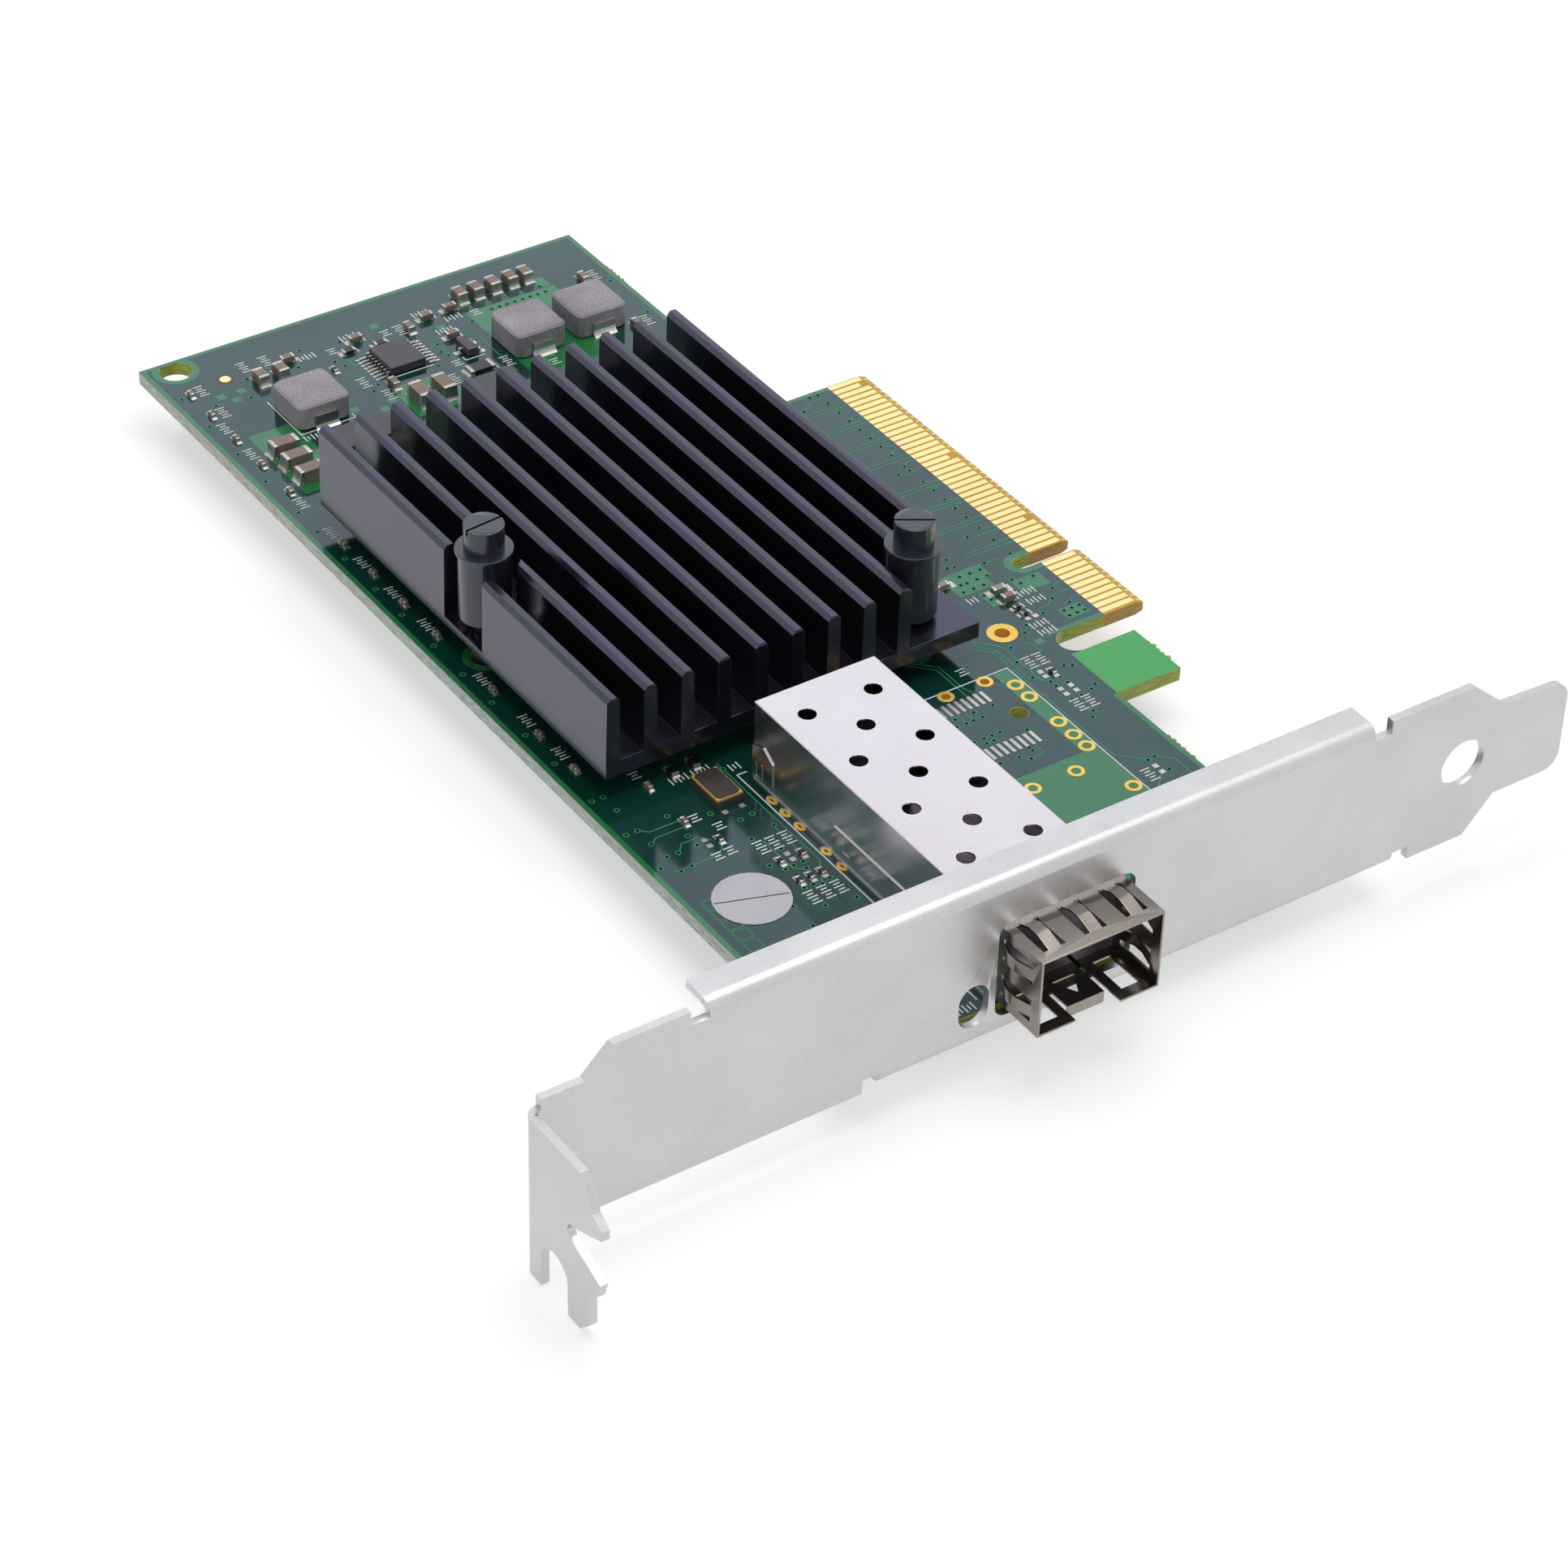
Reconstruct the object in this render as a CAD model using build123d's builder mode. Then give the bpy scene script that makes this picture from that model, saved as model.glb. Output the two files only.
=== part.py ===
"""Network interface card with one module cage and a full-height bracket.

Millimetres. +Z rises from the component side, +X runs out through the bracket and
+Y runs out of the edge connector. The origin is the connector's datum: the centre of
the key notch, on the contact edge, at half the board's thickness.
"""
import os

from build123d import *

os.makedirs("parts", exist_ok=True)

# General clearances, and the sides of round shapes that nothing outside fits
slide_gap = 0.05
hole_gap = 0.2
round_sides = 24
small_round_sides = 12

# Circuit board
board_thickness = 1.57
board_left = -81.9
board_right = 56.9
board_front = -68.5
board_rear = -12.3
board_top = board_thickness / 2
board_bottom = -board_thickness / 2
tab_left = -39.0
tab_right = 12.2
key_width = 1.9
key_depth = 8.0
bevel_length = 0.85
bevel_height = 0.3
hook_left = 16.0
hook_right = 23.85
hook_rear = -4.1
ear_left = 45.5
ear_rear = -4.9
corner_hole = (-79.8, -65.0)
corner_hole_radius = 1.85
fiducial_place = (-75.5, -61.1)
fiducial_radius = 0.65

# Edge contacts
contact_pitch = 1.0
contact_width = 0.7
contact_first = 1.5
contact_back = -5.17
contact_front = -0.95
short_contact_front = -1.7
long_side_count = 38
short_side_count = 11
copper_height = 0.05

# Holes and solder pads of the ports
ground_hole = (9.23, -16.16)
ground_hole_radius = 0.875
pin_hole_radius = 0.55
peg_hole = (21.27, -22.81)
peg_hole_radius = 0.95
port_pitch = 18.03
pad_rear_x = 17.27
pad_front_x = 25.37
pad_length = 1.93
pad_width = 0.4
pad_pitch = 0.8
pads_in_row = 10

# Module cage
cage_rear = 16.6
cage_mouth = 63.9
cage_centre = -45.03
cage_width = 14.15
cage_top = 10.885
cage_sheet = 0.25
cage_floor_base = 1.885
cage_floor_rear = 29.0
vent_radius = 0.95
vent_pitch = 8.82
vent_row_offset = 3.92
vent_first = 21.05
finger_window_rear = 58.1
finger_window_front = 62.6
finger_window_width = 2.5
finger_width = 1.4
finger_bow = 0.55
finger_pitch = 4.75
side_finger_pitch = 4.3
tail_width = 0.5
tail_reach = 0.6
latch_width = 4.3

# Bracket
sheet = 0.86
bracket_face = 58.34
bend_radius = 0.5
bracket_top = 16.885
bracket_low = board_bottom - sheet
bracket_end = -103.7
end_corner_top = 13.985
end_corner_run = 5.9
end_corner_slope = 2.9
tongue_tip = 16.4
tongue_length = 8.4
tongue_top = 13.085
tongue_low = 2.185
tongue_draw = 0.4
tongue_corner = 2.0
neck_slope_top = 4.4
neck_slope_low = 3.5
lip_start = -84.8
lip_end = -8.7
lip_rear = 54.4
flange_start = -65.8
flange_end = -4.6
strip_rear = 54.5
fixing_tab_rear = 47.3
fixing_tab_width = 6.8
fixing_x = 49.8
fixing_inset = 3.75
relief_width = 2.0
flange_edge = 68.4
flange_top = 12.785
flange_corner = 1.5
hook_reach = 2.0
hook_top = 9.4
notch_depth = 3.6
notch_level = 4.55
notch_half = 0.85
barb_reach = 1.8
barb_level = 2.0
leg_low = -5.7
slot_x = 62.65
slot_width = 4.42
slot_top = -0.115
round_hole = (3.3, 7.735)
round_hole_radius = 2.7
light_hole_z = 3.235
light_hole_width = 3.4
light_hole_height = 4.9
cage_hole_gap = 0.8
light_hole_web = 0.795
screw_radius = 1.25
screw_head_radius = 2.75
screw_head_height = 1.9

# Heat sink, chip under it and spring pins
sink_left = -45.0
sink_right = 11.6
sink_front = -66.15
sink_base_low = 3.6
sink_base_height = 1.9
fin_count = 11
fin_pitch = 4.34
fin_top_width = 1.5
fin_root_width = 1.7
fin_top = 13.2
pocket_radius = 3.7
pocket_floor = 0.95
pin_places = [(-15.6, -63.5), (6.7, -26.3)]
pin_shaft_radius = 1.3
pin_board_hole = 1.6
pin_head_radius = 2.125
pin_head_top = 17.235
pin_slot_width = 0.3
pin_slot_depth = 0.7
pin_slot_turns = (5.5, -32.0)
sleeve_radius = 2.75
sleeve_low = 5.885
collar_radius = 3.05
collar_height = 0.45
sleeve_top = 14.435
sleeve_bore = 2.2
spring_radius = 1.85
spring_wire = 0.45
chip_place = (-4.5, -45.0)
chip_size = 25.0
ball_height = 0.45
substrate_height = 1.0
lid_size = 22.0
die_size = 11.0
die_height = 0.6
pad_height = 0.2


def save(part, name):
    """Write one sub-part under its node name."""
    part.label = name
    export_step(part, f"parts/{name}.step")


def blocks(places, size_x, size_y, height, base):
    """Equal blocks standing on one level."""
    with BuildPart() as group:
        with BuildSketch(Plane.XY.offset(base)):
            with Locations(*places):
                Rectangle(size_x, size_y)
        extrude(amount=height)
    return group.part


def chip_bodies(places, length, width, height, cap, along_y=False):
    """Ceramic middles of two-terminal chips, between their end caps."""
    middle = length - 2 * cap
    if along_y:
        return blocks(places, width, middle, height, board_top)
    return blocks(places, middle, width, height, board_top)


def chip_ends(places, length, width, height, cap, along_y=False):
    """End caps of two-terminal chips, a little proud of the ceramic."""
    reach = (length - cap) / 2
    ends = []
    for x, y in places:
        for side in (-1, 1):
            if along_y:
                ends.append((x, y + side * reach))
            else:
                ends.append((x + side * reach, y))
    proud = 0.04
    if along_y:
        return blocks(ends, width + proud, cap, height + proud, board_top)
    return blocks(ends, cap, width + proud, height + proud, board_top)


def contact_places():
    """X positions of the finger contacts on one side of the board."""
    left = [-contact_first - contact_pitch * step for step in range(long_side_count)]
    right = [contact_first + contact_pitch * step for step in range(short_side_count)]
    return left + right


def cage_tail_places(port):
    """Holes for the cage's solder tails beside one port."""
    centre = cage_centre + port * port_pitch
    reach = cage_width / 2 - cage_sheet / 2 - 0.25
    places = []
    for x in (19.98, 22.35, 24.87, 29.47, 32.24):
        for side in (-1, 1):
            places.append((x, centre + side * reach))
    return places


def spare_port_places():
    """Plated holes of the second port's empty footprint."""
    rear_row = [(x, -20.33) for x in (17.27, 19.64, 24.63, 27.15, 29.38, 37.1)]
    front_row = [(x, -33.73) for x in (17.27, 19.64, 24.63, 27.15, 29.38, 37.1)]
    sides = [(15.15, -22.68), (15.15, -27.56), (32.15, -23.74), (32.15, -29.08)]
    return rear_row + front_row + sides


def fixing_places():
    """Screw positions in the two tabs under the board."""
    return [(fixing_x, flange_start + fixing_inset), (fixing_x, flange_end - fixing_inset)]


# Circuit board
small_holes = cage_tail_places(0) + spare_port_places()
with BuildPart() as circuit_board:
    with BuildSketch(Plane.XY.offset(board_bottom)):
        with Locations((board_left, board_front)):
            Rectangle(board_right - board_left, board_rear - board_front, align=Align.MIN)
        with Locations((tab_left, board_rear)):
            Rectangle(hook_left - tab_left, hook_rear - board_rear, align=Align.MIN)
        with Locations((tab_left, board_rear)):
            Rectangle(tab_right - tab_left, -board_rear, align=Align.MIN)
        with Locations((hook_left, board_rear)):
            Rectangle(hook_right - hook_left, hook_rear - board_rear, align=Align.MIN)
        with Locations((ear_left, board_rear)):
            Rectangle(board_right - ear_left, ear_rear - board_rear, align=Align.MIN)
        gap_centre = (tab_right + hook_left) / 2
        gap_radius = (hook_left - tab_right) / 2
        with Locations((gap_centre, board_rear + gap_radius)):
            Circle(gap_radius, mode=Mode.SUBTRACT)
        with Locations((gap_centre, board_rear + gap_radius)):
            Rectangle(
                2 * gap_radius, -board_rear, align=(Align.CENTER, Align.MIN), mode=Mode.SUBTRACT
            )
        with Locations((0, -key_depth + key_width / 2)):
            Circle(key_width / 2, mode=Mode.SUBTRACT)
            Rectangle(key_width, key_depth, align=(Align.CENTER, Align.MIN), mode=Mode.SUBTRACT)
        with Locations(corner_hole):
            Circle(corner_hole_radius, mode=Mode.SUBTRACT)
        with Locations(*pin_places):
            RegularPolygon(pin_board_hole, round_sides, mode=Mode.SUBTRACT)
        with Locations(ground_hole):
            RegularPolygon(ground_hole_radius, round_sides, mode=Mode.SUBTRACT)
        with Locations(*small_holes):
            RegularPolygon(pin_hole_radius, small_round_sides, mode=Mode.SUBTRACT)
        with Locations(*fixing_places()):
            RegularPolygon(screw_radius + 2 * hole_gap, round_sides, mode=Mode.SUBTRACT)
        with Locations(peg_hole):
            RegularPolygon(peg_hole_radius, small_round_sides, mode=Mode.SUBTRACT)
    extrude(amount=board_thickness)
    for side in (-1, 1):
        with BuildSketch(Plane.YZ.offset(tab_left)):
            with BuildLine():
                Polyline(
                    (-bevel_length, side * board_top),
                    (0.1, side * board_top),
                    (0.1, side * (board_top - bevel_height)),
                    (0, side * (board_top - bevel_height)),
                    (-bevel_length, side * board_top),
                )
            make_face()
        extrude(amount=tab_right - tab_left, mode=Mode.SUBTRACT)
save(circuit_board.part, "circuit_board")


# Gold finger contacts
def edge_contacts(level, short_places):
    """Contact strips on one face of the connector tab."""
    with BuildPart() as strips:
        with BuildSketch(Plane.XY.offset(level)):
            for x in contact_places():
                front = short_contact_front if x in short_places else contact_front
                with Locations((x, (contact_back + front) / 2)):
                    Rectangle(contact_width, front - contact_back)
        extrude(amount=copper_height)
    return strips.part


save(edge_contacts(board_top, (-6.5, -20.5, -37.5)), "edge_contacts_top")
save(edge_contacts(board_bottom - copper_height, (11.5,)), "edge_contacts_bottom")


# Positioning mark
with BuildPart() as fiducial_mark:
    with BuildSketch(Plane.XY.offset(board_top)):
        with Locations(fiducial_place):
            RegularPolygon(fiducial_radius, small_round_sides)
    extrude(amount=copper_height)
save(fiducial_mark.part, "fiducial_mark")


# Empty solder pads
def pad_columns(port):
    """Centres of the twenty pads that carry one port's connector."""
    shift = port * port_pitch
    rear = [(pad_rear_x, shift - 42.15 - pad_pitch * step) for step in range(pads_in_row)]
    front = [(pad_front_x, shift - 41.83 - pad_pitch * step) for step in range(pads_in_row)]
    return rear, front


square_pads = [(8.54, -11.38), (8.54, -12.37), (20.29, -15.53), (21.27, -15.53)]
square_pads += [(16.83, -16.84), (17.72, -16.84), (20.29, -16.83), (21.27, -16.83)]
square_pads += [(35.71, -16.5), (36.8, -16.49), (21.75, -61.24), (22.75, -61.24)]
square_pads += [(27.78, -55.54), (28.78, -55.54), (19.09, -55.05), (19.09, -57.04)]
fuse_places = [(2.95, -12.05), (-0.65, -16.8)]
fuse_pads = [(x, y + side * 1.2) for x, y in fuse_places for side in (-1, 1)]
with BuildPart() as solder_pads:
    rear_pads, front_pads = pad_columns(1)
    with BuildSketch(Plane.XY.offset(board_top)):
        with Locations(*rear_pads, *front_pads):
            Rectangle(pad_length, pad_width)
        with Locations(*square_pads):
            Rectangle(0.6, 0.6)
        with Locations(*fuse_pads):
            Rectangle(1.1, 0.7)
    extrude(amount=copper_height)
save(solder_pads.part, "solder_pads")

# Heat sink: one extrusion, then a milled pocket at the front pin and a flat at the rear one
sink_length = sink_right - sink_left
sink_rear = sink_front + fin_root_width + (fin_count - 1) * fin_pitch
sink_base_top = sink_base_low + sink_base_height
pocket_level = sink_base_low + pocket_floor
cut_height = fin_top - pocket_level + 1
with BuildPart() as heat_sink:
    with BuildSketch(Plane.YZ.offset(sink_left)):
        with Locations((sink_front, sink_base_low)):
            Rectangle(sink_rear - sink_front, sink_base_height, align=Align.MIN)
        for fin in range(fin_count):
            middle = sink_front + fin_root_width / 2 + fin * fin_pitch
            fin_shoulder = fin_top - fin_top_width / 2 + 0.25
            with BuildLine():
                Polyline(
                    (middle - fin_root_width / 2, sink_base_top),
                    (middle - fin_top_width / 2, fin_shoulder),
                    (middle - fin_top_width / 4, fin_top),
                    (middle + fin_top_width / 4, fin_top),
                    (middle + fin_top_width / 2, fin_shoulder),
                    (middle + fin_root_width / 2, sink_base_top),
                    (middle - fin_root_width / 2, sink_base_top),
                )
            make_face()
    extrude(amount=sink_length)
    front_pin, rear_pin = pin_places
    with BuildSketch(Plane.XY.offset(pocket_level)):
        with Locations(front_pin):
            RegularPolygon(pocket_radius, round_sides)
            Rectangle(2 * pocket_radius, sink_length, align=(Align.CENTER, Align.MAX))
    extrude(amount=cut_height, mode=Mode.SUBTRACT)
    with BuildSketch(Plane.XY.offset(sink_base_top)):
        with Locations((rear_pin[0] - pocket_radius - 0.4, rear_pin[1] - fin_pitch / 2)):
            Rectangle(sink_length, 3 * fin_pitch, align=Align.MIN)
    extrude(amount=cut_height, mode=Mode.SUBTRACT)
    with BuildSketch(Plane.XY.offset(sink_base_low)):
        with Locations(*pin_places):
            RegularPolygon(pin_board_hole, round_sides)
    extrude(amount=sink_base_height, mode=Mode.SUBTRACT)
save(heat_sink.part, "heat_sink")

# Controller chip: solder, carrier, die, stamped lid and the pad to the heat sink
ball_top = board_top + ball_height
carrier_top = ball_top + substrate_height
lid_top = sink_base_low - pad_height
save(blocks([chip_place], chip_size - 1, chip_size - 1, ball_height, board_top), "controller_solder")
save(blocks([chip_place], chip_size, chip_size, substrate_height, ball_top), "controller_carrier")
save(blocks([chip_place], die_size, die_size, die_height, carrier_top), "controller_die")
with BuildPart() as controller_lid:
    with BuildSketch(Plane.XY.offset(carrier_top)):
        with Locations(chip_place):
            Rectangle(lid_size, lid_size)
    extrude(amount=lid_top - carrier_top)
    with BuildSketch(Plane.XY.offset(carrier_top)):
        with Locations(chip_place):
            Rectangle(lid_size - 5, lid_size - 5)
    extrude(amount=die_height, mode=Mode.SUBTRACT)
save(controller_lid.part, "controller_lid")
save(blocks([chip_place], lid_size, lid_size, pad_height, lid_top), "thermal_pad")

# Spring pins: slotted core, sleeve with a collar, and the spring inside the sleeve
barb_radius = pin_board_hole + 0.25
barb_length = 2.4
with BuildPart() as push_pin_cores:
    with BuildSketch(Plane.XY.offset(board_bottom)):
        with Locations(*pin_places):
            RegularPolygon(pin_shaft_radius, small_round_sides)
    extrude(amount=sleeve_top - board_bottom)
    with BuildSketch(Plane.XY.offset(sleeve_top)):
        with Locations(*pin_places):
            RegularPolygon(pin_head_radius, round_sides)
    extrude(amount=pin_head_top - sleeve_top)
    with BuildSketch(Plane.XY.offset(board_bottom)):
        with Locations(*pin_places):
            RegularPolygon(barb_radius, small_round_sides)
    extrude(amount=-barb_length, taper=16)
    with BuildSketch(Plane.XY.offset(pin_head_top)):
        for place, turn in zip(pin_places, pin_slot_turns):
            with Locations(place):
                Rectangle(pin_slot_width, 3 * pin_head_radius, rotation=turn)
    extrude(amount=-pin_slot_depth, mode=Mode.SUBTRACT)
    with BuildSketch(Plane.XY.offset(board_bottom - barb_length)):
        with Locations(*pin_places):
            Rectangle(0.7, 3 * barb_radius)
    extrude(amount=barb_length + 1.2, mode=Mode.SUBTRACT)
save(push_pin_cores.part, "push_pin_cores")

sleeve_roof = 1.8
with BuildPart() as push_pin_sleeves:
    with BuildSketch(Plane.XY.offset(sleeve_low)):
        with Locations(*pin_places):
            RegularPolygon(sleeve_radius, round_sides)
    extrude(amount=sleeve_top - collar_height - sleeve_low)
    with BuildSketch(Plane.XY.offset(sleeve_top - collar_height)):
        with Locations(*pin_places):
            RegularPolygon(collar_radius, round_sides)
    extrude(amount=collar_height)
    low_edges = push_pin_sleeves.edges().group_by(Axis.Z)[0]
    chamfer(low_edges, 0.35)
    with BuildSketch(Plane.XY.offset(sleeve_low)):
        with Locations(*pin_places):
            RegularPolygon(sleeve_bore, small_round_sides)
    extrude(amount=sleeve_top - sleeve_roof - sleeve_low, mode=Mode.SUBTRACT)
    with BuildSketch(Plane.XY.offset(sleeve_low)):
        with Locations(*pin_places):
            RegularPolygon(pin_shaft_radius + slide_gap, small_round_sides)
    extrude(amount=sleeve_top - sleeve_low, mode=Mode.SUBTRACT)
save(push_pin_sleeves.part, "push_pin_sleeves")


def coil(place, floor):
    """One coil spring of square-cornered wire between the heat sink and the sleeve."""
    low = floor + spring_wire / 2
    high = sleeve_top - sleeve_roof - spring_wire / 2
    turns = 4
    steps = 6 * turns
    points = []
    for step in range(steps + 1):
        turn = Vector(spring_radius, 0, 0).rotate(Axis.Z, 360 * turns * step / steps)
        points.append(turn + Vector(place[0], place[1], low + (high - low) * step / steps))
    with BuildPart() as spring:
        with BuildLine() as path:
            Polyline(*points)
        with BuildSketch(Plane(origin=points[0], z_dir=points[1] - points[0])):
            Rectangle(spring_wire, spring_wire)
        sweep(path=path.wires()[0], transition=Transition.RIGHT)
    return spring.part


with BuildPart() as push_pin_springs:
    add(coil(front_pin, pocket_level))
    add(coil(rear_pin, sink_base_top))
save(push_pin_springs.part, "push_pin_springs")


# Module cage: folded sheet with vents, contact fingers at the mouth and solder tails
def bowed_finger(plane, across):
    """A spring strip bowed outwards along local Y, between the two ends of its window."""
    span = finger_window_front - finger_window_rear
    with BuildPart() as strip:
        with BuildSketch(plane):
            with BuildLine():
                Polyline(
                    (0, 0),
                    (span * 0.3, finger_bow),
                    (span * 0.6, finger_bow),
                    (span, 0),
                    (span, -cage_sheet),
                    (span * 0.6 - 0.1, finger_bow - cage_sheet),
                    (span * 0.3 + 0.1, finger_bow - cage_sheet),
                    (0, -cage_sheet),
                    (0, 0),
                )
            make_face()
        extrude(amount=across / 2, both=True)
    return strip.part


cage_left = cage_centre - cage_width / 2
cage_right = cage_centre + cage_width / 2
cage_middle_z = (cage_top + cage_floor_base) / 2
finger_window = (finger_window_rear + finger_window_front) / 2
window_length = finger_window_front - finger_window_rear
top_finger_rows = [cage_centre + finger_pitch * step for step in (-1, 0, 1)]
side_finger_rows = [cage_middle_z + side_finger_pitch * step for step in (-0.5, 0.5)]
cage_low = board_top + copper_height
with BuildPart() as module_cage:
    with BuildSketch(Plane.XY.offset(cage_low)):
        with Locations((cage_rear, cage_centre)):
            Rectangle(cage_mouth - cage_rear, cage_width, align=(Align.MIN, Align.CENTER))
    extrude(amount=cage_top - cage_low)
    with BuildSketch(Plane.XY.offset(cage_low)):
        with Locations((cage_rear + cage_sheet, cage_centre)):
            Rectangle(
                cage_mouth - cage_rear,
                cage_width - 2 * cage_sheet,
                align=(Align.MIN, Align.CENTER),
            )
    extrude(amount=cage_top - cage_sheet - cage_low, mode=Mode.SUBTRACT)
    with BuildSketch(Plane.XY.offset(cage_low)):
        with Locations((board_right - 0.4, cage_centre)):
            Rectangle(cage_mouth, 2 * cage_width, align=(Align.MIN, Align.CENTER))
    extrude(amount=cage_floor_base - cage_low, mode=Mode.SUBTRACT)
    with BuildSketch(Plane.YZ.offset(cage_rear)):
        with Locations((cage_centre, cage_low)):
            Rectangle(
                cage_width - 2 * cage_sheet, 1.6, align=(Align.CENTER, Align.MIN)
            )
    extrude(amount=cage_sheet, mode=Mode.SUBTRACT)
    outer_vents = [vent_first + vent_pitch * step for step in range(4)]
    inner_vents = [vent_first + vent_pitch * (step + 0.5) for step in range(3)]
    with BuildSketch(Plane.XY.offset(cage_top - cage_sheet)):
        for x in outer_vents:
            with Locations((x, cage_centre - vent_row_offset), (x, cage_centre + vent_row_offset)):
                RegularPolygon(vent_radius, small_round_sides)
        for x in inner_vents:
            with Locations((x, cage_centre)):
                RegularPolygon(vent_radius, small_round_sides)
        for y in top_finger_rows:
            with Locations((finger_window, y)):
                Rectangle(window_length, finger_window_width)
    extrude(amount=cage_sheet, mode=Mode.SUBTRACT)
    with BuildSketch(Plane.XZ.offset(-cage_right)):
        for z in side_finger_rows:
            with Locations((finger_window, z)):
                Rectangle(window_length, finger_window_width)
    extrude(amount=cage_width, mode=Mode.SUBTRACT)
    for y in top_finger_rows:
        add(bowed_finger(Plane((finger_window_rear, y, cage_top), (1, 0, 0), (0, -1, 0)), finger_width))
    for z in side_finger_rows:
        left_plane = Plane((finger_window_rear, cage_left, z), (1, 0, 0), (0, 0, -1))
        right_plane = Plane((finger_window_rear, cage_right, z), (1, 0, 0), (0, 0, 1))
        add(bowed_finger(left_plane, finger_width))
        add(bowed_finger(right_plane, finger_width))
    tail_reach_y = cage_width / 2 - cage_sheet / 2
    tails = []
    for x, y in cage_tail_places(0):
        side = 1 if y > cage_centre else -1
        tails.append((x, cage_centre + side * tail_reach_y))
    with BuildSketch(Plane.XY.offset(board_bottom - tail_reach)):
        with Locations(*tails):
            Rectangle(tail_width, cage_sheet)
    extrude(amount=cage_low + tail_reach - board_bottom)
save(module_cage.part, "module_cage")

# Cage floor with its two feet, the latch tongue and the tongue's bent lip
foot_gap = latch_width + 0.9
latch_front = cage_mouth - 1.9
with BuildPart() as cage_floor:
    with BuildSketch(Plane.XY.offset(cage_floor_base)):
        with Locations((cage_floor_rear, cage_centre)):
            Rectangle(
                cage_mouth - cage_floor_rear,
                cage_width - 2 * cage_sheet,
                align=(Align.MIN, Align.CENTER),
            )
        with Locations((cage_mouth, cage_centre)):
            Rectangle(9.0, foot_gap, align=(Align.MAX, Align.CENTER), mode=Mode.SUBTRACT)
        with Locations((latch_front, cage_centre)):
            Rectangle(9.0, latch_width, align=(Align.MAX, Align.CENTER))
        with BuildLine():
            Polyline(
                (latch_front - 1.2, cage_centre),
                (latch_front - 3.6, cage_centre - 1.3),
                (latch_front - 3.6, cage_centre + 1.3),
                (latch_front - 1.2, cage_centre),
            )
        make_face(mode=Mode.SUBTRACT)
        foot_offset = (foot_gap / 2 + cage_width / 2 - cage_sheet) / 2
        with Locations((finger_window, cage_centre - foot_offset), (finger_window, cage_centre + foot_offset)):
            Rectangle(window_length, 2.0, mode=Mode.SUBTRACT)
    extrude(amount=cage_sheet)
    with BuildSketch(Plane.XY.offset(cage_floor_base - 1.1)):
        with Locations((latch_front, cage_centre)):
            Rectangle(cage_sheet, latch_width, align=(Align.MAX, Align.CENTER))
    extrude(amount=1.1)
save(cage_floor.part, "cage_floor")

# Card-edge connector at the back of the cage
socket_rear = pad_rear_x + 1.0
socket_front = pad_front_x - 1.1
socket_nose = pad_front_x + 1.4
socket_width = 11.8
socket_base = board_top
socket_top = board_top + 5.4
slot_z = board_top + 3.1
first_rear_pads, first_front_pads = pad_columns(0)
socket_centre = (first_rear_pads[0][1] + first_rear_pads[-1][1]) / 2
with BuildPart() as module_connector:
    with BuildSketch(Plane.XZ.offset(-socket_centre - socket_width / 2)):
        with BuildLine():
            Polyline(
                (socket_rear, socket_base),
                (socket_front, socket_base),
                (socket_front, socket_base + 1.2),
                (socket_nose, socket_base + 1.2),
                (socket_nose, socket_top),
                (socket_rear, socket_top),
                (socket_rear, socket_base),
            )
        make_face()
    extrude(amount=socket_width)
    with BuildSketch(Plane.YZ.offset(socket_rear + 2.0)):
        with Locations((socket_centre, slot_z)):
            Rectangle(socket_width - 2.4, 1.9)
    extrude(amount=socket_nose - socket_rear, mode=Mode.SUBTRACT)
save(module_connector.part, "module_connector")

# Connector contacts: a foot on each pad and a blade along the slot
contact_sheet = 0.2
blade_gap = 0.95
with BuildPart() as connector_contacts:
    for x, y in first_rear_pads:
        with BuildSketch(Plane.XY.offset(board_top + copper_height)):
            with Locations((x - 0.3, y)):
                Rectangle(socket_rear - x + 0.3, 0.3, align=(Align.MIN, Align.CENTER))
        extrude(amount=contact_sheet)
        with BuildSketch(Plane.XY.offset(slot_z + blade_gap - contact_sheet)):
            with Locations((socket_rear + 2.0, y)):
                Rectangle(4.4, 0.3, align=(Align.MIN, Align.CENTER))
        extrude(amount=contact_sheet)
    for x, y in first_front_pads:
        with BuildSketch(Plane.XY.offset(board_top + copper_height)):
            with Locations((socket_front, y)):
                Rectangle(1.6, 0.3, align=(Align.MIN, Align.CENTER))
        extrude(amount=contact_sheet)
        with BuildSketch(Plane.XY.offset(slot_z - blade_gap)):
            with Locations((socket_rear + 2.0, y)):
                Rectangle(4.4, 0.3, align=(Align.MIN, Align.CENTER))
        extrude(amount=contact_sheet)
save(connector_contacts.part, "connector_contacts")

# Bracket
inner_face = bracket_face - sheet
outer_bend = bend_radius + sheet
flat_top = bracket_top - outer_bend
flat_low = bracket_low + outer_bend
relief_top = bracket_top - outer_bend - 0.2
relief_low = bracket_low + outer_bend + 0.2
tongue_root = tongue_tip - tongue_length
light_hole_y = cage_centre - cage_width / 2 - cage_hole_gap - light_hole_web - light_hole_width / 2


def bend_ring(centre_x, centre_y, corner):
    """Quarter of a bent sheet's section in the open sketch."""
    with Locations((centre_x, centre_y)):
        Circle(outer_bend)
        Circle(bend_radius, mode=Mode.SUBTRACT)
        Rectangle(outer_bend, outer_bend, align=corner, mode=Mode.INTERSECT)


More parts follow.
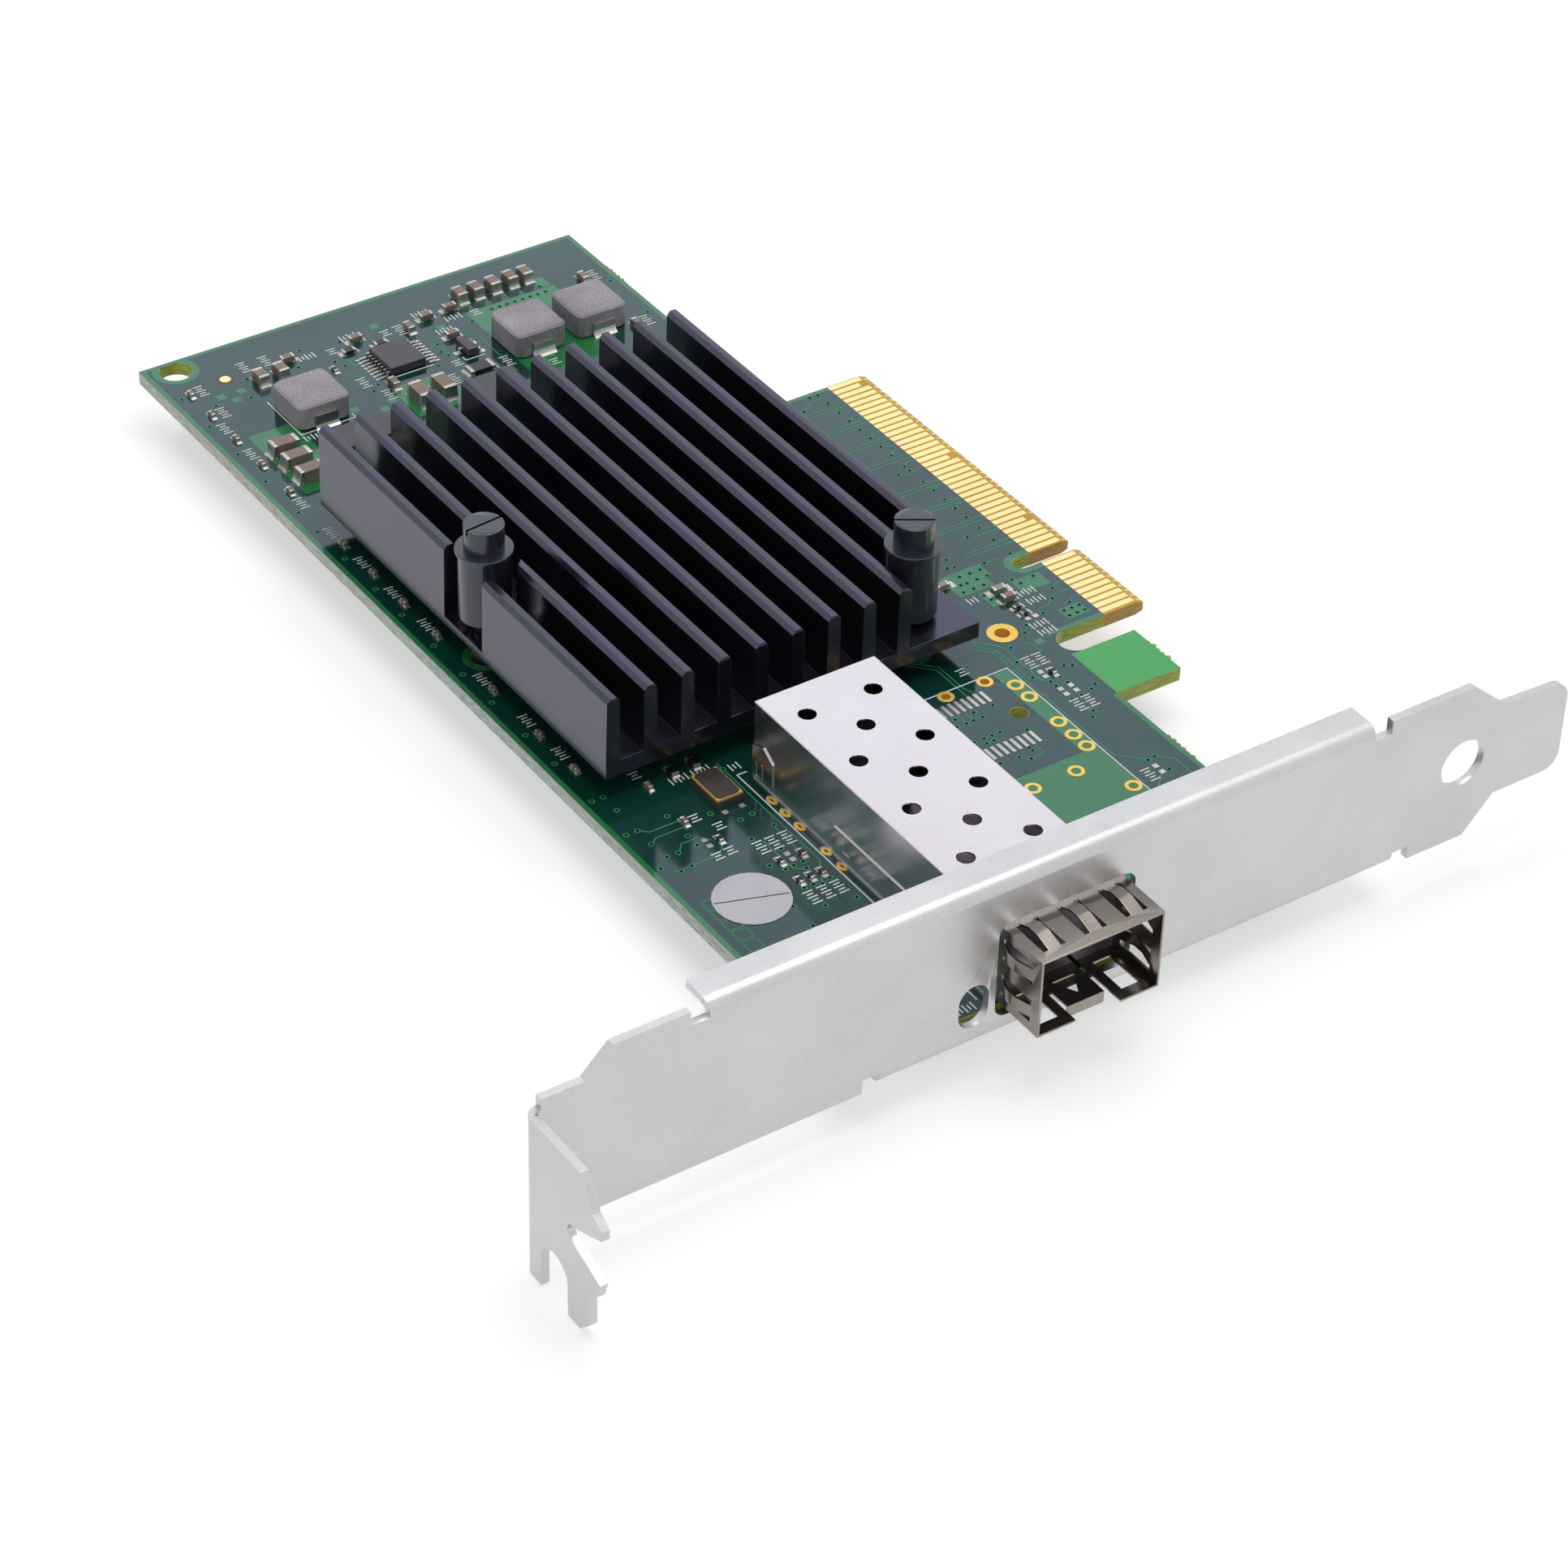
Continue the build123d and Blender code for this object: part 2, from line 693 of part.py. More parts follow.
with BuildPart() as bracket:
    with BuildSketch(Plane.YZ.offset(inner_face)) as face_outline:
        with BuildLine():
            Polyline(
                (bracket_end + outer_bend, end_corner_top),
                (bracket_end + end_corner_run, end_corner_top),
                (bracket_end + end_corner_run + end_corner_slope, bracket_top),
                (lip_start - relief_width, bracket_top),
                (lip_start - relief_width, relief_top),
                (lip_start, relief_top),
                (lip_start, flat_top),
                (lip_end, flat_top),
                (lip_end, relief_top),
                (lip_end + relief_width, relief_top),
                (lip_end + relief_width, bracket_top),
                (tongue_root - neck_slope_top, bracket_top),
                (tongue_root, tongue_top),
                (tongue_tip, tongue_top - tongue_draw),
                (tongue_tip, tongue_low),
                (tongue_root, tongue_low),
                (tongue_root - neck_slope_low, bracket_low),
                (flange_end + relief_width, bracket_low),
                (flange_end + relief_width, relief_low),
                (flange_end, relief_low),
                (flange_end, flat_low),
                (flange_start, flat_low),
                (flange_start, relief_low),
                (flange_start - relief_width, relief_low),
                (flange_start - relief_width, bracket_low),
                (bracket_end + outer_bend, bracket_low),
                (bracket_end + outer_bend, end_corner_top),
            )
        make_face()
        tip_corners = face_outline.vertices().group_by(Axis.X)[-1]
        fillet(tip_corners, tongue_corner)
        with Locations(round_hole):
            Circle(round_hole_radius, mode=Mode.SUBTRACT)
        with Locations((light_hole_y, light_hole_z)):
            SlotOverall(light_hole_height, light_hole_width, rotation=90, mode=Mode.SUBTRACT)
        opening_low = board_top - 0.2
        opening_top = cage_top + cage_hole_gap + 0.1
        with Locations((cage_centre, (opening_low + opening_top) / 2)):
            RectangleRounded(
                cage_width + 2 * cage_hole_gap,
                opening_top - opening_low,
                1.4,
                mode=Mode.SUBTRACT,
            )
    extrude(amount=sheet)
    with BuildSketch(Plane.XZ.offset(-lip_end)):
        bend_ring(inner_face - bend_radius, bracket_top - outer_bend, (Align.MIN, Align.MIN))
        with Locations((lip_rear, bracket_top - sheet)):
            Rectangle(inner_face - bend_radius - lip_rear, sheet, align=Align.MIN)
    extrude(amount=lip_end - lip_start)
    with BuildSketch(Plane.XZ.offset(-flange_end)):
        bend_ring(inner_face - bend_radius, bracket_low + outer_bend, (Align.MIN, Align.MAX))
        with Locations((strip_rear, bracket_low)):
            Rectangle(inner_face - bend_radius - strip_rear, sheet, align=Align.MIN)
    extrude(amount=flange_end - flange_start)
    with BuildSketch(Plane.XY.offset(bracket_low)):
        with Locations((fixing_tab_rear, flange_start)):
            Rectangle(strip_rear - fixing_tab_rear, fixing_tab_width, align=Align.MIN)
        with Locations((fixing_tab_rear, flange_end)):
            Rectangle(
                strip_rear - fixing_tab_rear, fixing_tab_width, align=(Align.MIN, Align.MAX)
            )
    extrude(amount=sheet)
    with BuildSketch(Plane.XY.offset(bracket_low)):
        with Locations(*fixing_places()):
            RegularPolygon(screw_radius, round_sides)
    extrude(amount=sheet, mode=Mode.SUBTRACT)

    # Screw flange at the end: legs beside an open slot, and a hooked notch
    bend_x = bracket_face + bend_radius
    with BuildSketch(Plane.XY.offset(leg_low)):
        bend_ring(bend_x, bracket_end + outer_bend, (Align.MAX, Align.MAX))
    extrude(amount=flange_top - leg_low)
    with BuildSketch(Plane.XZ.offset(-bracket_end - sheet)):
        with BuildLine():
            Polyline(
                (bend_x, flange_top),
                (flange_edge - flange_corner, flange_top),
                (flange_edge, flange_top - flange_corner),
                (flange_edge + hook_reach / 4, hook_top),
                (flange_edge + hook_reach, hook_top - 1),
                (flange_edge + hook_reach, hook_top - 2),
                (flange_edge - notch_depth / 2, notch_level + 1.5 * notch_half),
                (flange_edge - notch_depth + 0.3, notch_level + notch_half),
                (flange_edge - notch_depth, notch_level),
                (flange_edge - notch_depth + 0.3, notch_level - notch_half),
                (flange_edge - 0.4, notch_level - 2 * notch_half),
                (flange_edge + barb_reach, barb_level),
                (flange_edge + barb_reach - 0.6, barb_level - 1.8),
                (flange_edge, barb_level - 3),
                (flange_edge, leg_low + flange_corner),
                (flange_edge - flange_corner, leg_low),
                (bend_x, leg_low),
                (bend_x, flange_top),
            )
        make_face()
        with Locations((slot_x, slot_top - slot_width / 2)):
            Circle(slot_width / 2, mode=Mode.SUBTRACT)
            Rectangle(
                slot_width,
                slot_top - leg_low,
                align=(Align.CENTER, Align.MAX),
                mode=Mode.SUBTRACT,
            )
    extrude(amount=sheet)
save(bracket.part, "bracket")

# Screws through the board into the bracket's tabs
with BuildPart() as bracket_screws:
    with BuildSketch(Plane.XY.offset(bracket_low - 0.4)):
        with Locations(*fixing_places()):
            RegularPolygon(screw_radius, round_sides)
    extrude(amount=board_top - bracket_low + 0.4)
    with BuildSketch(Plane.XY.offset(board_top)):
        with Locations(*fixing_places()):
            RegularPolygon(screw_head_radius, round_sides)
    extrude(amount=screw_head_height)
    head_edges = bracket_screws.edges().group_by(Axis.Z)[-1]
    chamfer(head_edges, 0.5)
    with BuildSketch(Plane.XY.offset(board_top + screw_head_height)):
        with Locations(*fixing_places()):
            Rectangle(2.8, 0.7)
            Rectangle(0.7, 2.8)
    extrude(amount=-1.1, mode=Mode.SUBTRACT)
save(bracket_screws.part, "bracket_screws")

# Power inductors: moulded block with folded terminals on both ends
inductor_places = [(-64.95, -20.2), (-64.95, -28.2), (-64.97, -56.05)]
inductor_length = 6.86
inductor_width = 6.5
inductor_height = 3.0
terminal_sheet = 0.18
with BuildPart() as inductor_bodies:
    with BuildSketch(Plane.XY.offset(board_top + terminal_sheet)):
        with Locations(*inductor_places):
            RectangleRounded(inductor_length - 2 * terminal_sheet, inductor_width, 0.9)
    extrude(amount=inductor_height - terminal_sheet)
    top_edges = inductor_bodies.faces().group_by(Axis.Z)[-1].edges()
    chamfer(top_edges, 0.25)
save(inductor_bodies.part, "inductor_bodies")

terminal_height = 1.5
terminal_width = 2.9
terminal_foot = 1.5
with BuildPart() as inductor_terminals:
    for x, y in inductor_places:
        for side in (-1, 1):
            wall_x = x + side * (inductor_length - terminal_sheet) / 2
            foot_x = x + side * (inductor_length - terminal_foot) / 2
            with BuildSketch(Plane.XY.offset(board_top)):
                with Locations((foot_x, y)):
                    Rectangle(terminal_foot, terminal_width)
            extrude(amount=terminal_sheet)
            with BuildSketch(Plane.XY.offset(board_top + terminal_sheet)):
                with Locations((wall_x, y)):
                    Rectangle(terminal_sheet, terminal_width)
            extrude(amount=terminal_height)
save(inductor_terminals.part, "inductor_terminals")

# Polymer capacitors beside the heat sink: block, with a lead frame under it
polymer_sizes = [((-56.1, -54.8), 4.3, 7.3), ((-56.1, -37.2), 5.6, 6.0)]
polymer_height = 1.9
lead_sheet = 0.15
with BuildPart() as polymer_capacitor_bodies:
    for place, size_x, size_y in polymer_sizes:
        with BuildSketch(Plane.XY.offset(board_top + lead_sheet)):
            with Locations(place):
                Rectangle(size_x, size_y)
        extrude(amount=polymer_height - lead_sheet)
save(polymer_capacitor_bodies.part, "polymer_capacitor_bodies")
with BuildPart() as polymer_capacitor_leads:
    for (x, y), size_x, size_y in polymer_sizes:
        with BuildSketch(Plane.XY.offset(board_top)):
            with Locations((x, y - size_y / 2 + 0.6), (x, y + size_y / 2 - 0.6)):
                Rectangle(2.4, 1.3)
        extrude(amount=lead_sheet)
save(polymer_capacitor_leads.part, "polymer_capacitor_leads")


def chip_group(name, along_x, along_y, length, width, height, cap):
    """Bodies and end caps of one size of chip, lying along X or along Y."""
    with BuildPart() as bodies:
        if along_x:
            add(chip_bodies(along_x, length, width, height, cap))
        if along_y:
            add(chip_bodies(along_y, length, width, height, cap, True))
    with BuildPart() as ends:
        if along_x:
            add(chip_ends(along_x, length, width, height, cap))
        if along_y:
            add(chip_ends(along_y, length, width, height, cap, True))
    save(bodies.part, name + "_bodies")
    save(ends.part, name + "_ends")


# Ceramic capacitors by size
bulk_x = [(-60.55, -41.8), (-60.55, -44.76)]
bulk_y = [(x, -62.64) for x in (-59.36, -56.53, -53.47)]
chip_group("bulk_capacitor", bulk_x, bulk_y, 3.2, 1.6, 1.6, 0.5)
filter_x = [(-76.28, y) for y in (-21.74, -23.72, -26.04, -28.31, -30.43)]
filter_x += [(-73.0, -55.42), (-73.0, -57.94)]
chip_group("filter_capacitor", filter_x, [], 2.0, 1.25, 1.25, 0.4)
small_x = [(-73.65, -38.6), (-64.56, -45.85), (-72.5, -16.2), (-60.8, -16.3)]
small_y = [(-75.0, -32.6), (-74.7, -35.85), (-69.9, -35.25), (-74.8, -45.0), (-75.1, -53.5)]
small_y += [(4.73, -12.15)]
chip_group("small_capacitor", small_x, small_y, 1.6, 0.8, 0.8, 0.3)
front_row = [-74.5, -69.7, -64.1, -58.3, -52.2, -40.6, -34.3, -28.0, -21.3, -10.1, -1.2, 5.5]
tiny_x = [(x, -65.9) for x in front_row] + [(11.8, -61.3), (18.4, -61.35)]
chip_group("tiny_capacitor", tiny_x, [], 1.0, 0.5, 0.5, 0.22)

# Chip resistors and fuses
ohm_x = [(22.46, -59.9), (28.49, -54.3), (28.49, -56.8), (17.54, -15.8), (-70.7, -49.9)]
ohm_x += [(31.95, -54.3), (31.95, -55.6), (31.95, -56.9)]
ohm_y = [(6.41, -12.15), (7.69, -12.15)]
chip_group("tiny_resistor", ohm_x, ohm_y, 1.0, 0.5, 0.35, 0.22)
wide_x = [(10.9, -55.5), (10.9, -58.0)]
wide_y = [(-73.15, -46.75), (-72.7, -42.9)]
chip_group("small_resistor", wide_x, wide_y, 1.6, 0.8, 0.45, 0.3)
chip_group("sense_resistor", [], [(-62.45, -36.0)], 3.2, 1.6, 0.55, 0.5)
chip_group("fuse", [], fuse_places, 1.6, 0.8, 0.6, 0.35)


def gull_leads(feet, body_half, foot_reach, lead_width, lead_top, level=board_top, down=1):
    """Gull-wing leads: a foot on the board, a riser and a shelf into the body."""
    thick = 0.15
    with BuildPart() as leads:
        for x, y, side in feet:
            edge = y + side * body_half
            reach = y + side * foot_reach
            riser = edge + side * 0.45
            for low, high, start, end in (
                (0, thick, reach, riser - side * thick),
                (0, lead_top, riser, riser - side * thick),
                (lead_top - thick, lead_top, riser, edge),
            ):
                base = level + down * low
                with BuildSketch(Plane.XY.offset(base)):
                    with Locations((x, (start + end) / 2)):
                        Rectangle(lead_width, abs(end - start))
                extrude(amount=down * (high - low))
    return leads.part


# Power controller: sixteen leads along its two long sides
power_place = (-68.85, -42.9)
power_length = 5.0
power_half = 2.25
power_feet = []
for step in range(8):
    power_x = power_place[0] + 0.65 * (step - 3.5)
    power_feet += [(power_x, power_place[1], -1), (power_x, power_place[1], 1)]
save(blocks([power_place], power_length, 2 * power_half, 0.95, board_top + 0.1), "power_chip_body")
save(gull_leads(power_feet, power_half, 3.6, 0.25, 0.6), "power_chip_leads")

# Transistor: two leads on one side and one on the other
transistor_place = (-66.6, -35.2)
transistor_feet = [(transistor_place[0] - 0.95, transistor_place[1], 1)]
transistor_feet += [(transistor_place[0] + 0.95, transistor_place[1], 1)]
transistor_feet += [(transistor_place[0], transistor_place[1], -1)]
save(blocks([transistor_place], 2.9, 1.3, 0.95, board_top + 0.1), "transistor_body")
save(gull_leads(transistor_feet, 0.65, 1.25, 0.4, 0.6), "transistor_leads")

# Crystal: ceramic base, plated rim and lid
crystal_place = (15.85, -55.9)
with BuildPart() as crystal_base:
    with BuildSketch(Plane.XY.offset(board_top)):
        with Locations(crystal_place):
            Rectangle(5.0, 3.2)
    extrude(amount=0.8)
save(crystal_base.part, "crystal_base")
with BuildPart() as crystal_rim:
    with BuildSketch(Plane.XY.offset(board_top + 0.8)):
        with Locations(crystal_place):
            Rectangle(4.8, 3.0)
            Rectangle(4.1, 2.3, mode=Mode.SUBTRACT)
    extrude(amount=0.2)
save(crystal_rim.part, "crystal_rim")
with BuildPart() as crystal_lid:
    with BuildSketch(Plane.XY.offset(board_top + 0.8)):
        with Locations(crystal_place):
            Rectangle(4.1, 2.3)
    extrude(amount=0.25)
save(crystal_lid.part, "crystal_lid")

# Round inspection sticker
with BuildPart() as inspection_sticker:
    with BuildSketch(Plane.XY.offset(board_top)):
        with Locations((31.75, -62.3)):
            RegularPolygon(3.95, round_sides)
    extrude(amount=0.1)
save(inspection_sticker.part, "inspection_sticker")

# Link lights beside the cage, behind the slot in the bracket
light_places = [(52.6, light_hole_y + 0.4), (52.6, light_hole_y - 1.8)]
save(chip_bodies(light_places, 1.6, 0.8, 0.6, 0.35), "link_light_lenses")
save(chip_ends(light_places, 1.6, 0.8, 0.3, 0.35), "link_light_ends")

# Under the board: memory chip and the small capacitors behind the controller
memory_place = (-30.0, -40.0)
memory_feet = []
for step in range(4):
    memory_x = memory_place[0] + 1.27 * (step - 1.5)
    memory_feet += [(memory_x, memory_place[1], -1), (memory_x, memory_place[1], 1)]
save(blocks([memory_place], 4.9, 3.9, -1.35, board_bottom - 0.1), "memory_chip_body")
memory_leads = gull_leads(memory_feet, 1.95, 3.0, 0.4, 0.8, board_bottom, -1)
save(memory_leads, "memory_chip_leads")
under_places = []
for column in range(4):
    for row in range(3):
        under_places.append((chip_place[0] + 3.6 * (column - 1.5), chip_place[1] + 4.2 * (row - 1)))
under_length = 1.0
under_cap = 0.22
under_ends = []
for x, y in under_places:
    for side in (-1, 1):
        under_ends.append((x + side * (under_length - under_cap) / 2, y))
under_middle = under_length - 2 * under_cap
save(blocks(under_places, under_middle, 0.5, -0.5, board_bottom), "under_capacitor_bodies")
save(blocks(under_ends, under_cap, 0.54, -0.54, board_bottom), "under_capacitor_ends")
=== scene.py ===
"""Looks of a network interface card with one module cage and a full-height bracket.

The fixed frame is in metres: +Z rises from the component side, +X runs out through the
bracket and +Y runs out of the edge connector. Sizes below are in millimetres and are
turned to metres where a mesh is made.
"""
import logging
import math
import random
from dataclasses import dataclass, field
from enum import Enum

import bmesh
import bpy
from bpy.types import Material, Node, NodeSocket, NodeTree, Object
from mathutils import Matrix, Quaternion, Vector


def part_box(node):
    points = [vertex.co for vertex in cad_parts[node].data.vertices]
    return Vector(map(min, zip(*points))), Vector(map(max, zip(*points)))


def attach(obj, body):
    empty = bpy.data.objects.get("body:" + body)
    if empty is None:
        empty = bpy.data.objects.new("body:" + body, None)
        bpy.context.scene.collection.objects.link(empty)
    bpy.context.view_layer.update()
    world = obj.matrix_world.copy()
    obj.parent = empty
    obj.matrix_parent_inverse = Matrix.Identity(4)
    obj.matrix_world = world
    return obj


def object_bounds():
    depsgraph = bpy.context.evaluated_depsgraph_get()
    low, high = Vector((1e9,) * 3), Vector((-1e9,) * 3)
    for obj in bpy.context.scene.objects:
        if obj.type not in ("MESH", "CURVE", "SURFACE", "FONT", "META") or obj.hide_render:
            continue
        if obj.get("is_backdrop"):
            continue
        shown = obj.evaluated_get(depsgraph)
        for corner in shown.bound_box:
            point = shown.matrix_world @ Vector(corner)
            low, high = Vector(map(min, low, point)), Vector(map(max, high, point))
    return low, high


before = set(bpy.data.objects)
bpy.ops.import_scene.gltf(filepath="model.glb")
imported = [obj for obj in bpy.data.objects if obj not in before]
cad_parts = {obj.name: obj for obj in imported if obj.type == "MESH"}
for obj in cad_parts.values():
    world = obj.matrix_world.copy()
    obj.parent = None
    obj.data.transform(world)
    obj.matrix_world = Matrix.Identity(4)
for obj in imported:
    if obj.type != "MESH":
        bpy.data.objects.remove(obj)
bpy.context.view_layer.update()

MM = 0.001
log = logging.getLogger("network_card")

Point = tuple[float, float]
Corner = tuple[float, float, float]
Colour = tuple[float, float, float, float]


def box_mm(node: str) -> tuple[list[float], list[float]]:
    """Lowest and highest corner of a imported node, in millimetres."""
    low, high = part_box(node)
    return [round(value / MM, 3) for value in low], [round(value / MM, 3) for value in high]


def middle(node: str) -> Point:
    """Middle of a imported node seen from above, in millimetres."""
    low, high = box_mm(node)
    return (round((low[0] + high[0]) / 2, 3), round((low[1] + high[1]) / 2, 3))


(BOARD_LEFT, BOARD_FRONT, BOARD_LOW), (BOARD_RIGHT, _, BOARD_TOP) = box_mm("circuit_board")
# Tops of the thin layers on the board: mask, its rings, tracks, via pads, the via holes' discs of painted
# shade, ink
MASK_TOP, COLLAR_TOP, TRACK_TOP = BOARD_TOP + 0.012, BOARD_TOP + 0.014, BOARD_TOP + 0.02
VIA_TOP, MOUTH_TOP, INK_TOP = BOARD_TOP + 0.022, BOARD_TOP + 0.026, BOARD_TOP + 0.027
# Outline and holes of the board, where the artwork follows them
BOARD_REAR = -12.3
TAB_LEFT, TAB_RIGHT = -39.0, 12.2
KEY_EDGE = 0.95
TAB_SPANS = ((TAB_LEFT, -KEY_EDGE), (KEY_EDGE, TAB_RIGHT))
MASK_END = -5.1
BEVEL_LENGTH, BEVEL_HEIGHT = 0.85, 0.3
CLEAR_TAB = (16.0, BOARD_REAR, 23.85, -4.1)
CORNER_HOLE = (-79.8, -65.0)
SINK_PINS = ((-15.6, -63.5), (6.7, -26.3))
GROUND_HOLE = (9.23, -16.16)


def linear(code: str) -> Colour:
    """Turn an sRGB hex colour into linear light.

    Args:
        code: Colour as six hex digits after a hash.

    Returns:
        Red, green, blue and an alpha of 1.
    """
    parts = [int(code[step:step + 2], 16) / 255 for step in (1, 3, 5)]
    red, green, blue = [
        part / 12.92 if part <= 0.04045 else ((part + 0.055) / 1.055) ** 2.4 for part in parts
    ]
    return (red, green, blue, 1.0)


def add_node(tree: NodeTree, kind: str, links: dict | None = None, **settings) -> Node:
    """Add one shader node with its settings and links.

    Args:
        tree: Node tree that gets the node.
        kind: Blender's class name of the node.
        links: Input name or number, to a value or to the output socket that feeds it.
        settings: The node's own properties, and stops for a colour ramp.

    Returns:
        The new node.
    """
    node = tree.nodes.new(kind)
    stops = settings.pop("stops", None)
    for name, value in settings.items():
        setattr(node, name, value)
    if stops:
        ramp = node.color_ramp.elements
        while len(ramp) < len(stops):
            ramp.new(0.5)
        for element, (place, colour) in zip(ramp, stops):
            element.position = place
            element.color = colour
    for name, value in (links or {}).items():
        if isinstance(value, NodeSocket):
            tree.links.new(value, node.inputs[name])
        else:
            node.inputs[name].default_value = value
    return node


def add_object(name: str, data: bpy.types.ID) -> Object:
    """Add an object to the scene.

    Args:
        name: Its name.
        data: Its mesh, lamp or camera.

    Returns:
        The new object.
    """
    made = bpy.data.objects.new(name, data)
    bpy.context.scene.collection.objects.link(made)
    return made


class Grain(Enum):
    """What the making of a surface leaves on it."""

    MOULDED = "fine even texture of a mould"
    ROLLED = "sheet with faint lines along its rolling direction"
    PRESSED = "pressed powder with visible grains"
    DRAWN = "long lines of a die along X"
    SMOOTH = "nearly even, with a slow change of shade"


# Length of the marks along X, Y and Z, as a multiple of their width
MARK_LENGTH = {Grain.DRAWN: (40, 1, 1), Grain.ROLLED: (1, 12, 1)}
COAT_ROUGHNESS = 0.08
# The two noises together vary about 1; the shade and the gloss follow them this far
NOISE_MIDDLE, SHADE_REACH, GLOSS_REACH = 1.0, 0.2, 0.3
BUMP_STRENGTH = 0.5


@dataclass(frozen=True)
class Finish:
    """One real surface: two shades, its gloss and the pattern of its making.

    Args:
        name: Name of the material.
        light: Hex colour of the lighter shade.
        dark: Hex colour of the darker shade.
        grain: Pattern that the making leaves.
        grain_mm: Size of the pattern's marks.
        roughness: Middle of the roughness.
        spread: How far the roughness swings each way.
        metallic: 1 for a metal.
        bump_mm: Height of the marks.
        ior: Index of refraction, for what isn't a metal.
        coat: Weight of a clear coat.
        glow: Share of light that passes through.
        contrast: How strongly the two shades part.
        tint: Hex colour of the mirrored light, for what isn't a metal.
        cloud_mm: Size of the slow changes of shade.
    """

    name: str
    light: str
    dark: str
    grain: Grain
    grain_mm: float
    roughness: float
    spread: float = 0.04
    metallic: float = 0.0
    bump_mm: float = 0.004
    ior: float = 1.5
    coat: float = 0.0
    glow: float = 0.0
    contrast: float = 0.2
    tint: str = "#FFFFFF"
    cloud_mm: float = 9.0

    def material(self) -> Material:
        """Build the material once, and give the same one after that."""
        known = bpy.data.materials.get(self.name)
        if known:
            return known
        made = bpy.data.materials.new(self.name)
        made.use_nodes = True
        tree = made.node_tree
        tree.nodes.clear()
        levels = {"Metallic": self.metallic}
        if not self.metallic:
            levels |= {"IOR": self.ior, "Specular Tint": linear(self.tint)}
        if self.coat:
            levels |= {"Coat Weight": self.coat, "Coat Roughness": COAT_ROUGHNESS}
        if self.glow:
            levels["Transmission Weight"] = self.glow
        shader = add_node(tree, "ShaderNodeBsdfPrincipled", levels)
        add_node(tree, "ShaderNodeOutputMaterial", {"Surface": shader.outputs[0]})
        made.diffuse_color = linear(self.light)
        self.dress(tree, shader)
        return made

    def stretch(self) -> tuple[float, float, float]:
        """Scale of the pattern along each axis, from the marks' real size."""
        unit = 1 / (self.grain_mm * MM)
        along_x, along_y, along_z = MARK_LENGTH.get(self.grain, (1, 1, 1))
        return (unit / along_x, unit / along_y, unit / along_z)

    def coloured(self, tree: NodeTree, spot: NodeSocket, shade: NodeSocket) -> NodeSocket:
        """Give the colour that goes with the pattern's shade.

        Args:
            tree: The material's node tree.
            spot: Place on the object.
            shade: Strength of the pattern, from 0 for dark to 1 for light.

        Returns:
            Socket with the colour.
        """
        stops = [(0.0, linear(self.dark)), (1.0, linear(self.light))]
        return add_node(tree, "ShaderNodeValToRGB", {0: shade}, stops=stops).outputs[0]

    def dress(self, tree: NodeTree, shader: Node) -> None:
        """Link the pattern to the shader.

        Args:
            tree: The material's node tree.
            shader: Its principled shader.
        """
        spot = add_node(tree, "ShaderNodeTexCoord").outputs["Object"]
        place = add_node(tree, "ShaderNodeMapping", {"Vector": spot, "Scale": self.stretch()})
        fine = add_node(
            tree, "ShaderNodeTexNoise",
            {"Vector": place.outputs[0], "Scale": 1.0, "Detail": 3.0, "Roughness": 0.6},
        ).outputs[0]
        slow = add_node(
            tree, "ShaderNodeTexNoise", {"Vector": spot, "Scale": 1 / (self.cloud_mm * MM), "Detail": 2.0},
        ).outputs[0]
        both = add_node(tree, "ShaderNodeMath", {0: fine, 1: slow}, operation="ADD").outputs[0]
        half = 0.5 * (1 - self.contrast)
        shade, gloss = [
            add_node(
                tree, "ShaderNodeMapRange",
                {"Value": both, "From Min": NOISE_MIDDLE - reach, "From Max": NOISE_MIDDLE + reach,
                 "To Min": low, "To Max": high},
            ).outputs[0]
            for reach, low, high in (
                (SHADE_REACH, half, 1 - half),
                (GLOSS_REACH, self.roughness - self.spread, self.roughness + self.spread),
            )
        ]
        relief = add_node(
            tree, "ShaderNodeBump",
            {"Height": fine, "Strength": BUMP_STRENGTH, "Distance": self.bump_mm * MM},
        )
        tree.links.new(self.coloured(tree, spot, shade), shader.inputs["Base Color"])
        tree.links.new(gloss, shader.inputs["Roughness"])
        tree.links.new(relief.outputs[0], shader.inputs["Normal"])


@dataclass(frozen=True)
class CageFinish(Finish):
    """Bright sheet, with its duller collar of spring fingers in front of the bracket.

    Args:
        collar: Lighter and darker hex colour of the collar.
        collar_mm: X where the collar starts.
    """

    collar: tuple[str, str] = ("#A79F98", "#8B837C")
    collar_mm: float = 57.0

    def coloured(self, tree: NodeTree, spot: NodeSocket, shade: NodeSocket) -> NodeSocket:
        """Mix the colour of the sheet with the collar's, by place.

        Args:
            tree: The material's node tree.
            spot: Place on the object.
            shade: Strength of the pattern, from 0 for dark to 1 for light.

        Returns:
            Socket with the colour.
        """
        light, dark = self.collar
        stops = [(0.0, linear(dark)), (1.0, linear(light))]
        dull = add_node(tree, "ShaderNodeValToRGB", {0: shade}, stops=stops)
        where = add_node(tree, "ShaderNodeSeparateXYZ", {0: spot})
        front = add_node(
            tree, "ShaderNodeMath", {0: where.outputs["X"], 1: self.collar_mm * MM}, operation="GREATER_THAN",
        )
        return add_node(
            tree, "ShaderNodeMix",
            {"Factor": front.outputs[0], 6: super().coloured(tree, spot, shade), 7: dull.outputs[0]},
            data_type="RGBA",
        ).outputs[2]


